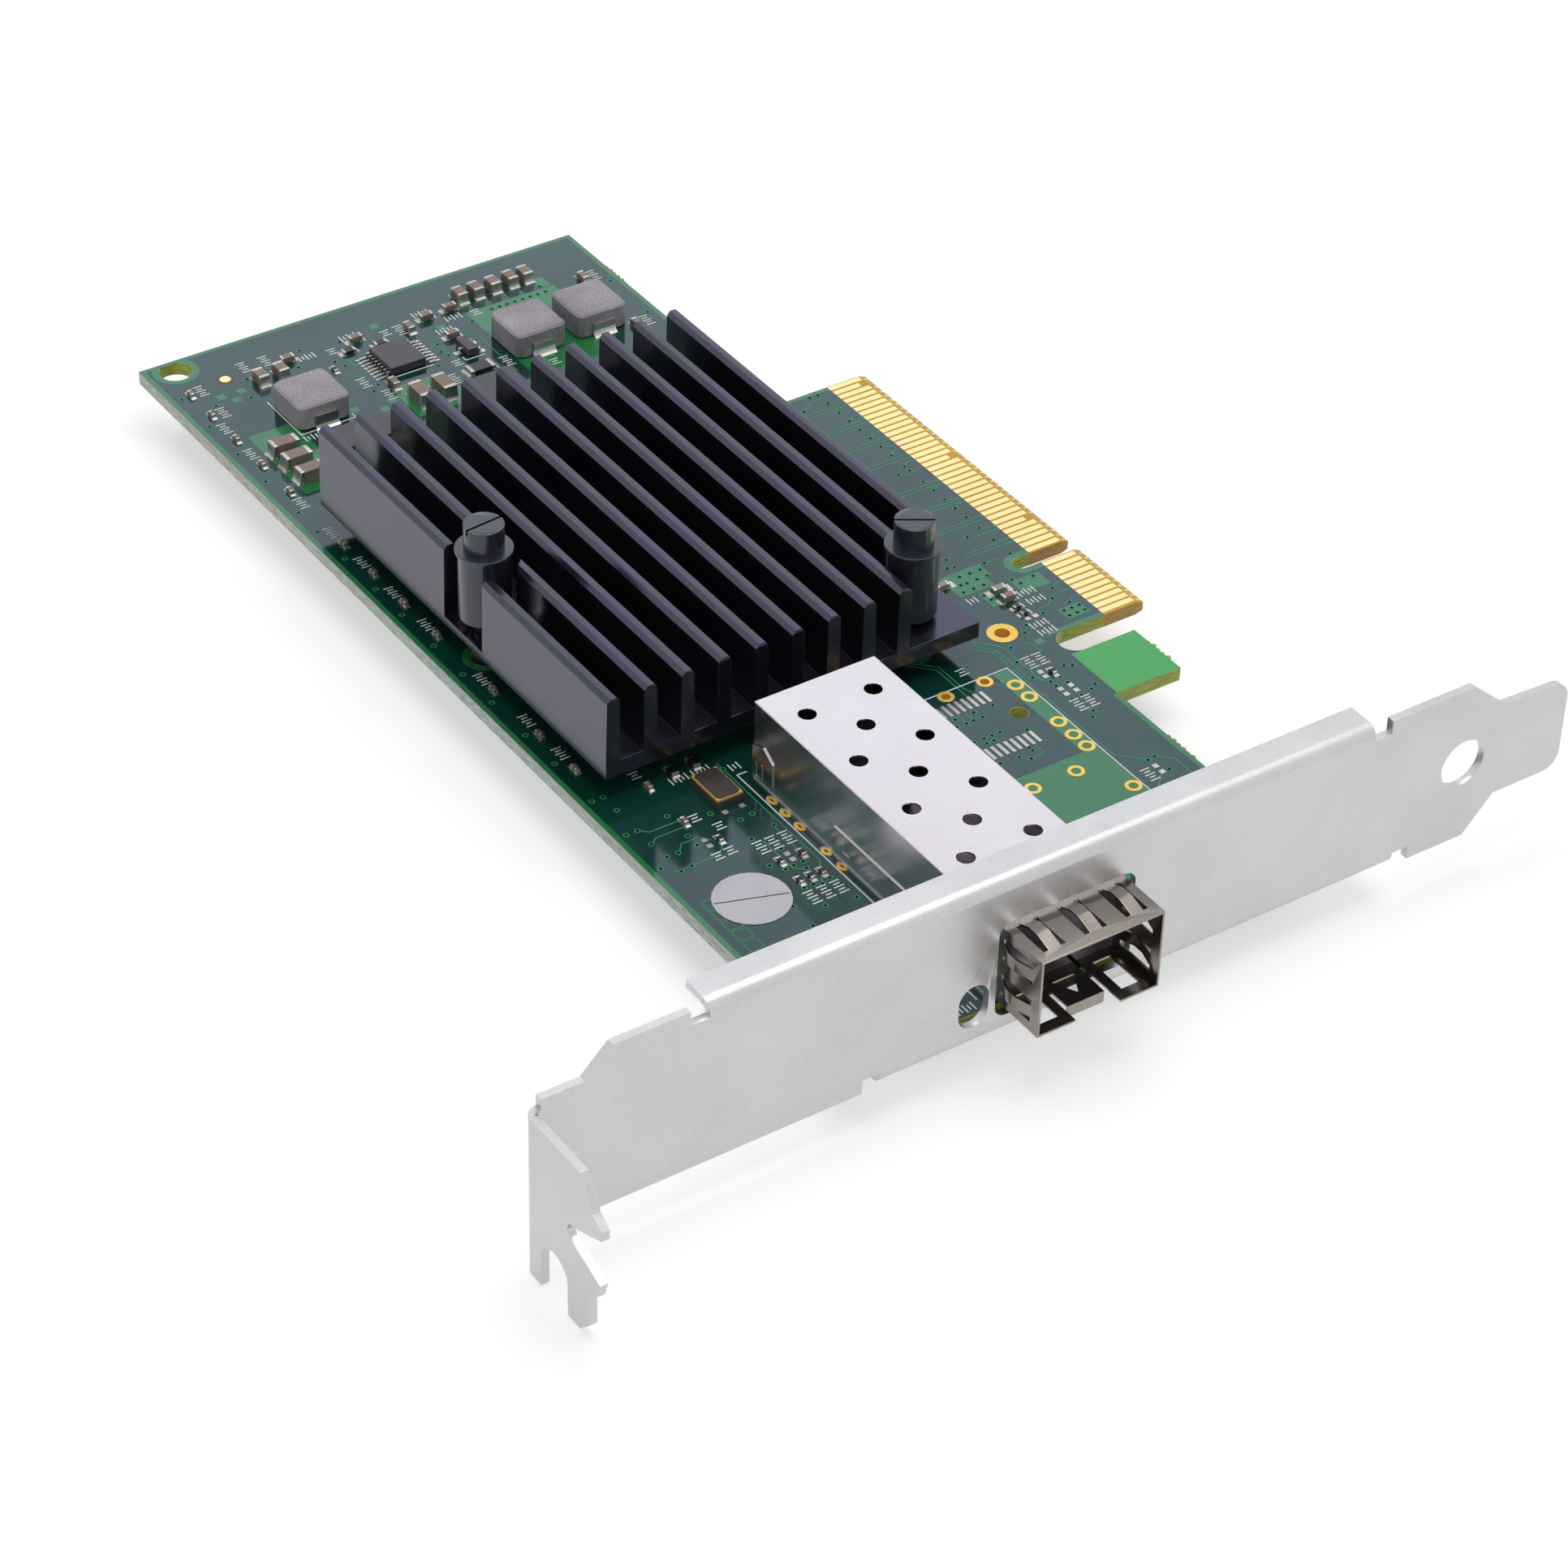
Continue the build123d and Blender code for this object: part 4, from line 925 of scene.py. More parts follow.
    def tracks(self) -> None:
        """Raised copper tracks under the mask."""
        shape = Shaper()
        low, high = BOARD_TOP, TRACK_TOP
        start = self.track_start
        paths: list[list[Point]] = []
        for x in (-35.0, -31.1, -27.0, -23.0, -17.0, -13.0, -9.0, -4.0):
            paths += [[(x + side * 0.3, start), (x + side * 0.3, -11.4)] for side in (-1, 1)]
        for side, ends in (
            (1, (-36.2, -34.0, -30.0, -26.0, -18.0, -14.0, -10.0, -7.6, -5.0, -2.0)),
            (-1, (-32.0, -28.0, -24.0, -21.5, -16.0, -12.0, 5.5, 8.5)),
        ):
            paths += [[(x + side * 0.5, start), (x + side * 0.5, -6.2), (x, -6.9)] for x in ends]
        paths += [
            [(-37.5, start), (-37.2, -8.6), (-36.2, -10.1)], [(-6.4, start), (-6.5, -8.3), (-6.9, -9.0)],
            [(-20.4, start), (-19.9, -7.6), (-20.5, -8.4)], [(-2.0, -10.3), (-2.0, -8.9), (-0.8, -8.5)],
            [(6.5, start), (6.5, -7.5), (7.8, -9.2), (7.8, -10.4)],
            [(11.5, -15.4), (12.7, -14.6), (14.2, -14.6)],
            [(34.4, -15.6), (35.7, -14.1), (BOARD_RIGHT - 1, -14.1)],
            [(34.5, -16.5), (32.0, -18.95), (11.6, -18.95), (8.9, -21.6)],
            [(36.2, -16.5), (34.5, -16.5)], [(36.9, -16.6), (38.4, -18.2), (44.0, -18.2)],
            [(8.9, -20.4), (11.4, -18.5), (17.2, -18.5), (17.2, -18.1)],
            [(8.9, -19.8), (11.2, -17.6), (17.9, -17.6), (18.9, -16.9)],
            [(26.2, -24.6), (28.0, -24.6), (28.1, -26.2)],
            [(8.4, -27.4), (10.6, -25.2), (15.0, -25.2), (15.6, -24.9), (16.6, -24.9)],
            [(8.4, -28.2), (10.8, -25.7), (15.0, -25.7), (15.6, -25.7), (16.6, -25.7)],
            [(17.8, -61.6), (17.8, -65.0), (17.1, -65.8)], [(18.9, -61.6), (18.9, -65.0), (19.5, -65.8)],
            [(-72.4, -47.6), (-70.2, -47.6), (-69.6, -46.6)],
            [(-67.7, -46.6), (-67.9, -48.0), (-69.8, -50.0)],
            [(-70.4, -38.6), (-70.4, -34.6), (-68.6, -32.6), (-60.0, -32.6)],
            [(-69.0, -38.6), (-69.6, -37.4), (-63.0, -37.4)],
            [(12.0, -53.4), (30.2, -53.4), (33.4, -55.2)], [(24.8, -56.4), (30.0, -56.3), (31.0, -55.0)],
            [(22.0, -60.6), (21.0, -61.4), (21.0, -63.4), (22.4, -64.6)],
            [(23.4, -60.2), (24.4, -61.2), (24.4, -66.4)], [(23.2, -54.2), (28.0, -54.3)],
        ]
        # A teardrop where the track meets its via, fanned out of four strips
        paths += [[(26.3, -25.4 - 0.02 * step), (27.1, -25.4)] for step in range(4)]
        paths += [[(18.3, y), (19.9, y)] for y in (-27.5, -28.4)]
        for path in paths:
            shape.ribbon(path, self.track_width, low, high)
        box_width, box_near, box_far = 1.5, -66.8, -65.2
        for x in (29.6, 31.4, 33.2, 35.0, 36.8, 38.6):
            corners = [(x, box_far), (x + box_width, box_far), (x + box_width, box_near), (x, box_near)]
            shape.ribbon([*corners, corners[0]], 0.12, low, high)
        shape.finish("mask_tracks", Finishes.TRACK_MASK, "board_laminate")

    def via_places(self) -> list[Point]:
        """Places of the vias that show."""
        places = [
            (x, -6.9)
            for x in (-38.2, -36.2, -34.0, -32.0, -30.0, -28.0, -26.0, -24.0, -21.5, -20.5, -18.0, -16.0,
                      -14.0, -12.0, -10.0, -7.6, -5.0, -2.0, 5.5, 8.5)
        ]
        # Beside the tongue
        places += [
            (-38.2, -8.0), (-36.2, -10.1), (-20.5, -8.4), (-6.9, -9.0), (-2.0, -10.3), (2.0, -9.6),
            (3.0, -9.2), (2.6, -7.3), (7.0, -8.0), (8.6, -10.4), (-4.6, -13.4), (-3.1, -13.4),
            (-3.3, -14.2), (9.4, -13.2), (10.4, -14.1), (11.8, -16.9), (14.2, -17.9), (17.2, -18.1),
            (0.0, -14.8), (3.8, -13.6), (2.8, -13.8),
        ]
        places += [(x, y) for x in (9.4, 10.4) for y in (-6.3, -7.3, -8.3)]
        places += [(x, y) for x in (-1.3, 0.0) for y in (-11.4, -12.7, -14.0)]
        places += [(1.2, y) for y in (-12.7, -14.0, -15.3)]
        # In and around the empty second port
        places += [
            (17.6, -13.3), (17.2, -14.1), (21.4, -13.3), (21.9, -14.1), (18.5, -15.6), (18.7, -16.9),
            (19.7, -15.5), (19.6, -16.9), (22.2, -15.6), (22.3, -16.9), (25.0, -16.2), (25.8, -16.9),
            (34.4, -15.6), (34.5, -16.5), (36.8, -15.6), (24.0, -23.8), (18.8, -24.3), (18.8, -26.7),
            (19.9, -26.4), (22.9, -26.4), (22.9, -27.4), (23.7, -27.7), (19.9, -27.5), (22.9, -28.4),
            (23.7, -28.6), (19.9, -28.4), (18.8, -29.0), (27.1, -25.4), (28.1, -26.3), (27.3, -27.2),
            (27.1, -29.4), (19.9, -29.6), (22.9, -29.6), (18.8, -30.4), (27.1, -31.0),
        ]
        # Power stage at the far end
        places += [
            (-73.9, -21.2), (-70.7, -13.6), (-62.8, -13.6), (-71.5, -31.6), (-70.3, -36.4), (-69.4, -37.4),
            (-67.8, -37.9), (-66.8, -37.5), (-65.5, -39.6), (-75.6, -46.5), (-72.3, -49.0), (-70.9, -48.4),
            (-65.7, -47.2), (-64.8, -48.3), (-76.4, -51.2), (-73.4, -53.0), (-74.2, -55.9), (-74.3, -59.0),
            (-70.8, -60.4), (-74.4, -67.1), (-68.0, -67.1), (-61.6, -67.1), (-55.4, -67.1), (-48.4, -67.0),
            (-71.3, -64.5),
        ]
        places += [(-72.6, -21.2 - 1.02 * step) for step in range(8)]
        # Between the heat sink, the cage and the sticker
        places += [
            (20.9, -56.4), (24.0, -57.2), (28.4, -58.0), (29.6, -54.9), (30.6, -55.2), (29.6, -56.0),
            (26.8, -55.6), (29.7, -57.0), (33.4, -55.2), (33.0, -56.0), (33.0, -57.1), (36.3, -56.9),
            (34.8, -59.6), (38.2, -59.6), (38.5, -62.5), (16.6, -62.2), (20.3, -62.2), (22.0, -62.2),
            (22.0, -64.4), (24.4, -64.4), (22.0, -65.7), (24.6, -65.7), (10.7, -65.9), (13.2, -65.9),
            (17.0, -65.9), (19.5, -65.9), (10.7, -67.2), (17.0, -67.2), (23.2, -67.2), (18.5, -58.4),
            (13.2, -53.4), (23.3, -54.1), (33.0, -54.1), (20.7, -54.9), (36.9, -53.6),
        ]
        dice = random.Random(7)
        return places + [(x + dice.uniform(-0.5, 0.5), -67.1) for x in range(-44, 10, 6)]

    def vias(self) -> None:
        """Masked via pads, each with a dark disc of painted shade over its hole."""
        pads, mouths = Shaper(), Shaper()
        for place in self.via_places():
            pads.ring(place, self.via_radius, self.via_mouth - 0.01, BOARD_TOP, VIA_TOP, 12)
            # Near-black disc that paints the shade inside the via's hole
            mouths.disc(place, self.via_mouth, BOARD_TOP, MOUTH_TOP, 10)
        pads.finish("via_pads", Finishes.TRACK_MASK, "board_laminate")
        mouths.finish("via_hole_painted_shade_discs", Finishes.VIA, "board_laminate")

    def ring_places(self) -> list[Point]:
        """Places of the small plated holes of both ports."""
        _, cage_y = middle("module_cage")
        pairs = [(x, (cage_y - 6.7, cage_y + 6.7)) for x in (19.98, 22.35, 24.87, 29.47, 32.24)]
        pairs += [(x, (-20.33, -33.73)) for x in (17.27, 19.64, 24.63, 27.15, 29.38, 37.1)]
        pairs += [(15.15, (-22.68, -27.56)), (32.15, (-23.74, -29.08))]
        return [(x, y) for x, pair in pairs for y in pair]

    def plated_holes(self) -> None:
        """Gold rings on both faces with the plating down the hole's wall."""
        rings, barrels = Shaper(), Shaper()
        faces = ((BOARD_TOP, BOARD_TOP + self.ring_proud), (BOARD_LOW - self.ring_proud, BOARD_LOW))
        for place in self.ring_places():
            for low, high in faces:
                rings.ring(place, self.ring_radius, self.ring_hole - 0.04, low, high)
            barrels.ring(place, self.ring_hole - 0.01, self.ring_hole - 0.05, BOARD_LOW, BOARD_TOP)
        for low, high in faces:
            rings.ring(GROUND_HOLE, 1.65, 0.84, low, high, 40)
        barrels.ring(GROUND_HOLE, 0.85, 0.81, BOARD_LOW, BOARD_TOP, 40)
        rings.finish("plated_rings", Finishes.RING_GOLD, "contact_gold")
        barrels.finish("plated_barrels", Finishes.BARREL, "contact_gold")

    def legend(self) -> None:
        """Printed outlines of the ports and chips, and plain marks beside the parts."""
        shape = Shaper()
        low, high = MASK_TOP, INK_TOP
        lines: list[list[Point]] = [
            [(BOARD_RIGHT - 1.5, -19.35), (14.45, -19.35), (14.45, -36.6)],
            [(14.75, -51.6), (14.75, -52.75), (BOARD_RIGHT - 1.5, -52.75)],
            [(-69.0, -59.4), (-61.3, -59.4), (-61.3, -52.6)], [(-61.3, -52.6), (-62.2, -52.6)],
            [(-64.9, -33.9), (-64.9, -36.4), (-65.6, -36.4)], [(-66.0, -39.9), (-66.0, -45.9)],
        ]
        for path in lines:
            shape.ribbon(path, self.line_width, low, high)
        for x, y, length, axis in self.mark_places():
            strokes = round(length / self.stroke_pitch)
            for step in range(strokes):
                shift = (step - (strokes - 1) / 2) * length / strokes
                half = self.stroke_reach[step % 2]
                if axis is Axis.X:
                    shape.square(x + shift, y, self.stroke_half, half, low, high)
                else:
                    shape.square(x, y + shift, half, self.stroke_half, low, high)
        shape.finish("printed_legend", Finishes.INK, "board_laminate")

    def mark_places(self) -> list[tuple[float, float, float, Axis]]:
        """Centre, length and direction of the plain marks beside the parts."""
        rows = {
            (2.3, Axis.X): [
                (-72.8, -14.6), (-61.4, -14.6), (-62.4, -32.5), (-74.2, -39.5), (-62.2, -39.4),
                (-63.3, -47.2), (-76.5, -55.5), (-76.6, -58.2), (-74.8, -64.5), (-69.7, -64.5),
                (-66.8, -65.9), (-60.9, -65.9), (-49.8, -65.9), (-43.3, -65.9), (-36.8, -65.9),
                (-30.4, -65.9), (-23.6, -65.9), (-12.4, -65.9), (-4.0, -65.7), (2.4, -65.7), (25.6, -54.1),
                (25.6, -55.6), (25.6, -57.1), (34.6, -54.1), (34.6, -55.6), (34.6, -57.2), (14.9, -15.4),
                (14.9, -16.8), (23.4, -15.4), (23.4, -16.8), (36.5, -17.8), (40.3, -17.7), (-66.8, -48.4),
            ],
            (1.4, Axis.X): [
                (-59.5, -28.0), (-73.0, -30.2), (-64.9, -37.5), (-74.5, -41.2), (-74.3, -48.2),
                (9.4, -61.4), (18.3, -60.1), (20.6, -58.7), (24.4, -59.9), (24.5, -61.4), (12.6, -23.7),
            ],
            (2.3, Axis.Y): [
                (-73.4, -33.0), (-71.5, -35.2), (-76.0, -35.8), (-76.0, -45.2), (-74.8, -51.2),
                (-60.4, -58.5), (12.2, -55.4), (12.2, -58.0), (4.5, -9.6), (6.2, -9.6), (9.9, -11.9),
                (11.3, -11.9), (55.9, -54.5),
            ],
            (1.4, Axis.Y): [(13.4, -52.2), (2.9, -15.4)],
        }
        return [(x, y, *kind) for kind, places in rows.items() for x, y in places]

    def tongue(self) -> None:
        """Bare laminate at the connector's tip, contact necks and the snapped edge tabs."""
        bare, necks, stubs = Shaper(), Shaper(), Shaper()
        slope = BEVEL_HEIGHT / BEVEL_LENGTH
        film, tip, inset = 0.006, -0.02, 0.01
        for side in (1, -1):
            high, low = [
                side * (BOARD_TOP - slope * (y + BEVEL_LENGTH) + film) for y in (-BEVEL_LENGTH, tip)
            ]
            for x0, x1 in TAB_SPANS:
                left, right = x0 + inset, x1 - inset
                bare.slab([
                    (left, -BEVEL_LENGTH, high), (right, -BEVEL_LENGTH, high),
                    (right, tip, low), (left, tip, low),
                ], side * 0.02)
        first_contact, contact_slots, short_contacts = -38.5, 51, (-6.5, -20.5, -37.5)
        neck_lift, neck_depth = 0.03, 0.035
        for step in range(contact_slots):
            x = first_contact + step
            if abs(x) < KEY_EDGE or x in short_contacts:
                continue
            necks.slab([
                (x + shift, y, BOARD_TOP - slope * max(0.0, y + BEVEL_LENGTH) + neck_lift)
                for shift, y in ((0.3, -0.97), (0.3, -0.06), (0.08, -0.06), (0.08, -0.97))
            ], neck_depth)
        for x0, x1 in TAB_SPANS:
            for low, high in ((BOARD_TOP - 0.01, BOARD_TOP + 0.003), (BOARD_LOW - 0.003, BOARD_LOW + 0.01)):
                bare.block(x0, MASK_END, x1, -BEVEL_LENGTH - 0.01, low, high)
        dice = random.Random(3)
        for x0, x1, y in ((-74.0, -70.0, BOARD_REAR), (18.0, 22.0, CLEAR_TAB[3]), (32.0, 36.0, BOARD_REAR)):
            x = x0
            while x < x1:
                depth = dice.uniform(0.15, 0.4)
                tooth = [(x, y - 0.02), (x + 0.7, y - 0.02), (x + 0.5, y + depth), (x + 0.2, y + depth)]
                stubs.prism(tooth, BOARD_LOW + 0.1, BOARD_TOP - 0.1)
                x += 0.8
        bare.finish("bare_tongue_laminate", Finishes.LAMINATE, "board_laminate")
        necks.finish("contact_necks", Finishes.GOLD, "contact_gold")
        stubs.finish("snapped_tab_stubs", Finishes.SNAPPED, "board_laminate")


@dataclass
class SolderJoints:
    """Fillets of solder at the ends of the small chips.

    Args:
        rise_share: Height of a fillet, as a share of the chip's height.
        reach: Longest reach of a fillet on the board.
        lift: Height of the solder that covers a pad.
        pad_margin: How far a pad reaches past its fillet and past the chip's sides.
        controller: Middle of the power controller.
        lead_pitch: Distance between its leads.
        inductors: Middles of the inductors.
    """

    rise_share: float = 0.55
    reach: float = 0.28
    lift: float = 0.035
    pad_margin: Point = (0.12, 0.08)
    controller: Point = (-68.85, -42.9)
    lead_pitch: float = 0.65
    inductors: tuple[Point, ...] = ((-64.95, -20.2), (-64.95, -28.2), (-64.97, -56.05))

    def groups(self) -> list[tuple[list[Point], Axis, float, float, float]]:
        """Places, direction, length, width and height of every size of chip."""
        front = (-74.5, -69.7, -64.1, -58.3, -52.2, -40.6, -34.3, -28.0, -21.3, -10.1, -1.2, 5.5)
        filters = [(-76.28, y) for y in (-21.74, -23.72, -26.04, -28.31, -30.43)]
        return [
            ([(-60.55, -41.8), (-60.55, -44.76)], Axis.X, 3.2, 1.6, 1.6),
            ([(x, -62.64) for x in (-59.36, -56.53, -53.47)], Axis.Y, 3.2, 1.6, 1.6),
            (filters + [(-73.0, -55.42), (-73.0, -57.94)], Axis.X, 2.0, 1.25, 1.25),
            ([(-73.65, -38.6), (-64.56, -45.85), (-72.5, -16.2), (-60.8, -16.3)], Axis.X, 1.6, 0.8, 0.8),
            ([(-75.0, -32.6), (-74.7, -35.85), (-69.9, -35.25), (-74.8, -45.0), (-75.1, -53.5),
              (4.73, -12.15)], Axis.Y, 1.6, 0.8, 0.8),
            ([(x, -65.9) for x in front] + [(11.8, -61.3), (18.4, -61.35)], Axis.X, 1.0, 0.5, 0.5),
            ([(22.46, -59.9), (28.49, -54.3), (28.49, -56.8), (17.54, -15.8), (-70.7, -49.9),
              (31.95, -54.3), (31.95, -55.6), (31.95, -56.9)], Axis.X, 1.0, 0.5, 0.35),
            ([(6.41, -12.15), (7.69, -12.15)], Axis.Y, 1.0, 0.5, 0.35),
            ([(10.9, -55.5), (10.9, -58.0)], Axis.X, 1.6, 0.8, 0.45),
            ([(-73.15, -46.75), (-72.7, -42.9)], Axis.Y, 1.6, 0.8, 0.45),
            ([(-62.45, -36.0)], Axis.Y, 3.2, 1.6, 0.55),
            ([(2.95, -12.05), (-0.65, -16.8)], Axis.Y, 1.6, 0.8, 0.6),
            ([(52.6, -55.0), (52.6, -57.2)], Axis.X, 1.6, 0.8, 0.3),
        ]

    def build(self) -> None:
        """Make the fillets and their pads as one piece."""
        shape = Shaper()
        for places, axis, length, width, height in self.groups():
            reach = min(self.reach, 0.35 * height + 0.12)
            for x, y in places:
                for side in (-1, 1):
                    self.joint(shape, (x, y), axis, side, (length, width, height), reach)
        self.inductor_joints(shape)
        self.lead_joints(shape)
        shape.finish("solder_fillets", Finishes.TIN, "solder_tin")

    def joint(
        self, shape: Shaper, place: Point, axis: Axis, side: int, size: Corner, reach: float,
    ) -> None:
        """Add the fillet and pad at one end of a small chip.

        Args:
            shape: Mesh that gets them.
            place: Middle of the chip.
            axis: Direction in which it lies.
            side: Which end, -1 or 1.
            size: Its length, width and height.
            reach: Reach of the fillet on the board.
        """
        length, width, height = size
        dx, dy = axis.value
        end_x, end_y = place[0] + side * dx * length / 2, place[1] + side * dy * length / 2
        half = width / 2
        edge = ((end_x - dy * half, end_y - dx * half), (end_x + dy * half, end_y + dx * half))
        shape.wedge(edge, (side * dx, side * dy), BOARD_TOP + 0.03, height * self.rise_share, reach)
        long_half, wide_half = reach + self.pad_margin[0], half + self.pad_margin[1]
        halves = (long_half, wide_half) if axis is Axis.X else (wide_half, long_half)
        shape.square(
            end_x + side * dx * 0.02, end_y + side * dy * 0.02, *halves, BOARD_TOP, BOARD_TOP + self.lift,
        )

    def inductor_joints(self, shape: Shaper) -> None:
        """Add fillets and terminal faces to the inductors.

        Args:
            shape: Mesh that gets them.
        """
        for x, y in self.inductors:
            for side in (-1, 1):
                end = x + side * 3.43
                shape.wedge(((end, y - 1.45), (end, y + 1.45)), (side, 0), BOARD_TOP, 0.75, 0.55)
                shape.square(end + side * 0.05, y, 0.05, 1.35, 1.75, 2.42)

    def lead_joints(self, shape: Shaper) -> None:
        """Add solder under the leads of the power controller and the transistor.

        Args:
            shape: Mesh that gets it.
        """
        x, y = self.controller
        for step in range(8):
            for side in (-1, 1):
                lead_x = x + self.lead_pitch * (step - 3.5)
                shape.square(lead_x, y + side * 3.65, 0.17, 0.45, BOARD_TOP, BOARD_TOP + 0.06)
        for lead_x, lead_y in ((-67.55, -33.95), (-65.65, -33.95), (-66.6, -36.45)):
            shape.square(lead_x, lead_y, 0.35, 0.45, BOARD_TOP, BOARD_TOP + 0.05)


@dataclass
class StickerRule:
    """Dividing line of the round sticker, left without words.

    Args:
        reach: How far the line goes to each side of the middle.
        lean_degrees: How far the sticker is turned.
        width: Width of the line.
    """

    reach: float = 3.75
    lean_degrees: float = 71.0
    width: float = 0.16

    def build(self) -> None:
        """Make the line, a little turned as on the card."""
        shape = Shaper()
        lean = math.radians(self.lean_degrees)
        x, y = middle("inspection_sticker")
        level = box_mm("inspection_sticker")[1][2]
        across, along = self.reach * math.cos(lean), self.reach * math.sin(lean)
        shape.ribbon([(x - across, y - along), (x + across, y + along)], self.width, level, level + 0.01)
        shape.finish("sticker_rule", Finishes.RULE, "sticker_paper")


@dataclass
class CageDetail:
    """Folds, lower side sheets and rear clips on both sides of the module cage.

    Args:
        rear: X of the cage's rear wall.
        width: Its outside width.
        top: Height of its roof.
        sheet: How far one folded sheet stands out from the side.
        collar: X where the folds end at the collar.
        lower_rear: X where the lower side sheet starts.
        folds: X ranges of the roof's fold, between its slits.
    """

    rear: float = 16.6
    width: float = 14.15
    top: float = 10.885
    sheet: float = 0.07
    collar: float = 57.3
    lower_rear: float = 30.7
    folds: tuple[Point, ...] = ((16.62, 17.9), (18.0, 19.65), (19.75, 57.3))

    def plates(self) -> list[tuple[float, float, float, float, float]]:
        """X range, heights and depth in sheets of every plate that lies on a side."""
        roof_folds = [(x0, x1, 10.1, self.top - 0.06, 1.0) for x0, x1 in self.folds]
        # Rim of the lower sheet, and the two legs of its catch
        lower = [
            (self.lower_rear, self.collar, 4.62, 4.78, 2.0),
            (32.1, 33.4, 2.5, 2.72, 2.0),
            (32.1, 32.35, 2.72, 3.6, 2.0),
        ]
        # Ribs pressed in the rear clip
        ribs = [(17.2, 17.42, 2.3, 3.9, 3.2), (18.2, 18.42, 2.3, 4.1, 3.2), (17.2, 18.42, 2.1, 2.32, 3.2)]
        return roof_folds + lower + ribs

    def build(self) -> None:
        """Make the plates and the clip on both sides."""
        shape = Shaper()
        _, centre = middle("module_cage")
        back = self.rear + 0.02
        clip = [(back, 2.1), (19.7, 2.1), (20.1, 2.5), (20.1, 5.2), (18.4, 6.3), (back, 5.7)]
        for side in (-1, 1):
            wall = centre + side * self.width / 2
            for x0, x1, low, high, sheets in self.plates():
                outer = wall + side * self.sheet * sheets
                shape.block(x0, min(wall, outer), x1, max(wall, outer), low, high)
            shape.square(
                (self.lower_rear + self.collar) / 2, wall + side * self.sheet / 2,
                (self.collar - self.lower_rear) / 2, self.sheet / 2 + 0.03, 1.1, 4.7,
            )
            shape.wall(clip, wall, wall + side * self.sheet * 2.2)
        shape.finish("cage_folds", Finishes.CAGE, "cage_nickel")


@dataclass
class CrystalLid:
    """Seam-welded plate that covers all but the rim of the crystal.

    Args:
        half: Half of the plate's length and width.
        corner: Size of its cut corners.
        low: Height of its underside.
        high: Height of its face.
    """

    half: Point = (2.3, 1.38)
    corner: float = 0.35
    low: float = 1.8
    high: float = 1.87

    def build(self) -> None:
        """Make the plate."""
        shape = Shaper()
        x, y = middle("crystal_base")
        a, b = self.half
        short_a, short_b = a - self.corner, b - self.corner
        shape.prism([
            (x - short_a, y - b), (x + short_a, y - b), (x + a, y - short_b), (x + a, y + short_b),
            (x + short_a, y + b), (x - short_a, y + b), (x - a, y + short_b), (x - a, y - short_b),
        ], self.low, self.high)
        shape.finish("crystal_lid_plate", Finishes.CRYSTAL, "crystal_lid_metal")


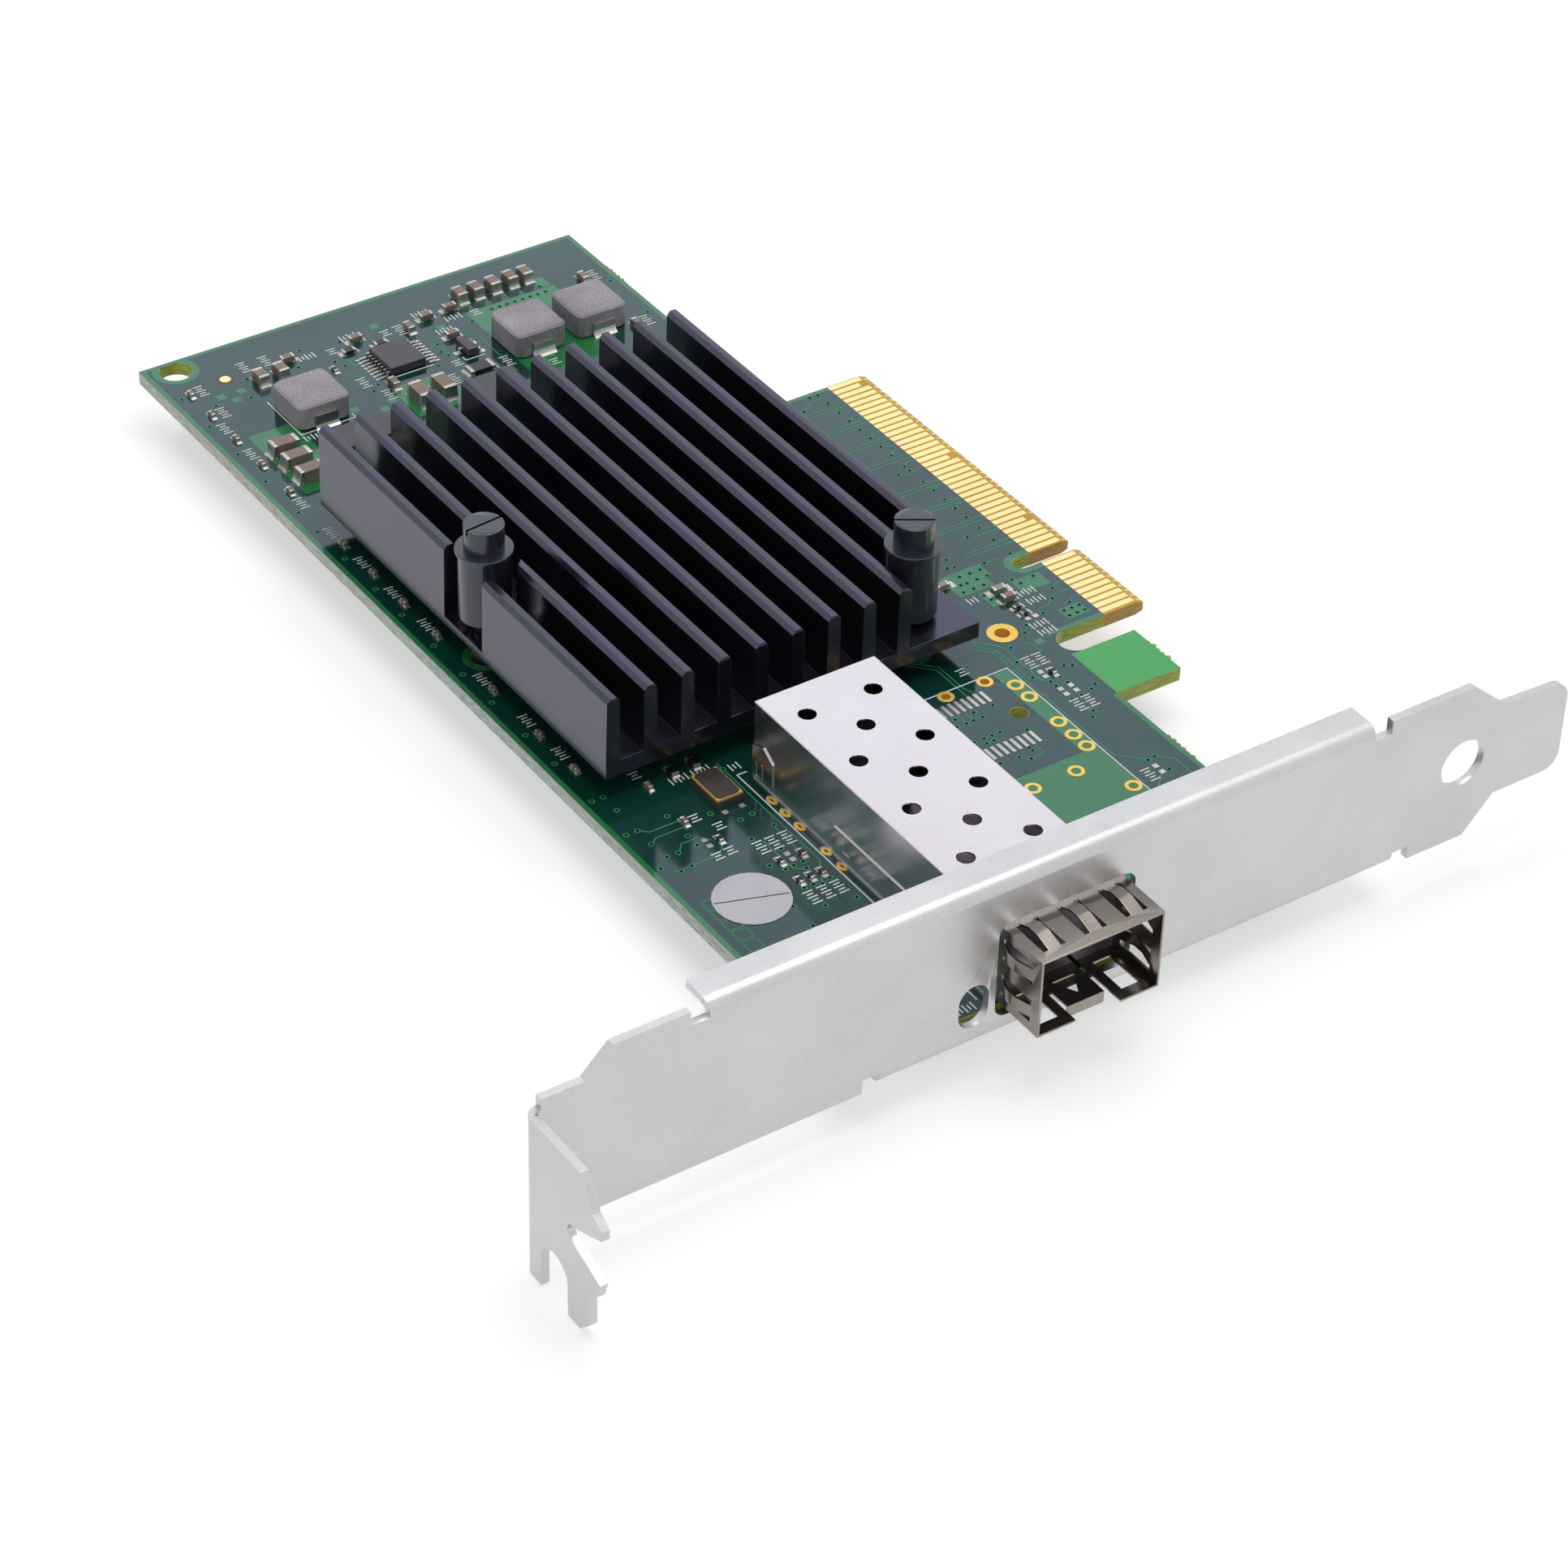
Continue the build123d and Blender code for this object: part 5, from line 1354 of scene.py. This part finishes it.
@dataclass
class Studio:
    """Pale floor, white surround, soft lamps and the camera.

    Args:
        lens_mm: Focal length on a 36 mm sensor.
        camera_at: Place of the camera in metres.
        camera_turn: Its rotation as a quaternion.
        sensor_mm: Width of the camera's sensor.
        clip: Nearest and farthest distance that the camera sees.
        floor_half: Half the side of the floor in metres.
        floor_gap: How far the floor lies below the card.
        floor_shade: Hex colour of the floor's paper.
        floor_lift: Light that the floor adds where it is seen, to match the surround.
        seen_white: Strength of the surround where it is seen.
        ambient: Strength of the surround as a light.
    """

    lens_mm: float = 107.128
    camera_at: tuple[float, float, float] = (0.31782, -0.25993, 0.28304)
    camera_turn: tuple[float, float, float, float] = (0.7896819, 0.3946423, 0.1971672, 0.4263626)
    sensor_mm: float = 36.0
    clip: Point = (0.01, 20.0)
    floor_half: float = 3.0
    floor_gap: float = 0.0002
    floor_shade: str = "#D2D2D2"
    floor_lift: float = 0.55
    seen_white: float = 1.0
    ambient: float = 0.3

    def build(self) -> None:
        """Set up everything around the card."""
        self.camera()
        self.floor()
        self.surround()
        self.lamps()
        bpy.context.scene.view_settings.view_transform = "Standard"

    def camera(self) -> None:
        """Place the camera where the photograph was taken from."""
        data = bpy.data.cameras.new("camera")
        data.lens = self.lens_mm
        data.sensor_width = self.sensor_mm
        data.clip_start, data.clip_end = self.clip
        camera = add_object("camera", data)
        camera.location = self.camera_at
        camera.rotation_mode = "QUATERNION"
        camera.rotation_quaternion = Quaternion(self.camera_turn)
        bpy.context.scene.camera = camera

    def seen(self, tree: NodeTree) -> NodeSocket:
        """Say whether a ray comes from the camera, a mirror or a clear body.

        Args:
            tree: Node tree that gets the test.

        Returns:
            Socket that is 1 for such a ray.
        """
        path = add_node(tree, "ShaderNodeLightPath")
        total = path.outputs["Is Camera Ray"]
        for kind in ("Is Glossy Ray", "Is Transmission Ray"):
            total = add_node(
                tree, "ShaderNodeMath", {0: total, 1: path.outputs[kind]}, operation="ADD", use_clamp=True,
            ).outputs[0]
        return total

    def floor(self) -> None:
        """Pale floor that keeps the card's soft shadow."""
        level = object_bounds()[0].z - self.floor_gap
        mesh = bmesh.new()
        bmesh.ops.create_grid(mesh, x_segments=8, y_segments=8, size=self.floor_half)
        for vert in mesh.verts:
            vert.co.z = level
        data = bpy.data.meshes.new("studio_floor")
        mesh.to_mesh(data)
        mesh.free()
        plane = add_object("studio_floor", data)
        made = bpy.data.materials.new("matt_studio_paper")
        made.use_nodes = True
        tree = made.node_tree
        tree.nodes.clear()
        paper = add_node(tree, "ShaderNodeBsdfDiffuse", {"Color": linear(self.floor_shade)})
        dark, lift = [
            add_node(tree, "ShaderNodeEmission", {"Color": linear(tone), "Strength": strength}).outputs[0]
            for tone, strength in (("#000000", 0.0), ("#FFFFFF", self.floor_lift))
        ]
        glow = add_node(tree, "ShaderNodeMixShader", {0: self.seen(tree), 1: dark, 2: lift})
        total = add_node(tree, "ShaderNodeAddShader", {0: paper.outputs[0], 1: glow.outputs[0]})
        add_node(tree, "ShaderNodeOutputMaterial", {"Surface": total.outputs[0]})
        data.materials.append(made)
        plane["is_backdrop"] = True

    def surround(self) -> None:
        """White surround, plain for the light that it gives."""
        world = bpy.data.worlds.new("white_surround")
        bpy.context.scene.world = world
        world.use_nodes = True
        tree = world.node_tree
        tree.nodes.clear()
        soft, white = [
            add_node(
                tree, "ShaderNodeBackground", {"Color": linear("#FFFFFF"), "Strength": strength},
            ).outputs[0]
            for strength in (self.ambient, self.seen_white)
        ]
        mixed = add_node(tree, "ShaderNodeMixShader", {0: self.seen(tree), 1: soft, 2: white})
        add_node(tree, "ShaderNodeOutputWorld", {"Surface": mixed.outputs[0]})

    def lamps(self) -> None:
        """Three soft boxes: above, in front of the bracket, and low behind the far end."""
        self.lamp("soft_box_above", (0.0, 0.02, 0.7), (0.0, -0.03, 0.0), 0.55, 2.4)
        self.lamp("soft_box_front", (0.6, -0.5, 0.35), (0.0, -0.04, 0.0), 0.5, 0.6)
        self.lamp("soft_box_rear", (-0.76, 0.34, 0.44), (-0.06, -0.04, 0.0), 0.5, 0.25, "#D8E4FF")

    def lamp(
        self, name: str, place: Corner, aim: Corner, size: float, watts: float, tone: str = "#FFFFFF",
    ) -> None:
        """Add one square soft box.

        Args:
            name: Its name.
            place: Where it hangs.
            aim: Point that it faces.
            size: Length of its side in metres.
            watts: Its power.
            tone: Hex colour of its light.
        """
        data = bpy.data.lights.new(name, "AREA")
        data.size = size
        data.energy = watts
        data.color = linear(tone)[:3]
        box = add_object(name, data)
        box.location = place
        box.rotation_mode = "QUATERNION"
        box.rotation_quaternion = (Vector(aim) - Vector(place)).to_track_quat("-Z", "Y")


def main() -> None:
    """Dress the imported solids, add the fine detail and light the card."""
    logging.basicConfig(level=logging.INFO, format="%(name)s %(message)s")
    PackedNodes().build()
    BoardArtwork().build()
    SolderJoints().build()
    StickerRule().build()
    CageDetail().build()
    CrystalLid().build()
    Studio().build()


if __name__ == "__main__":
    main()
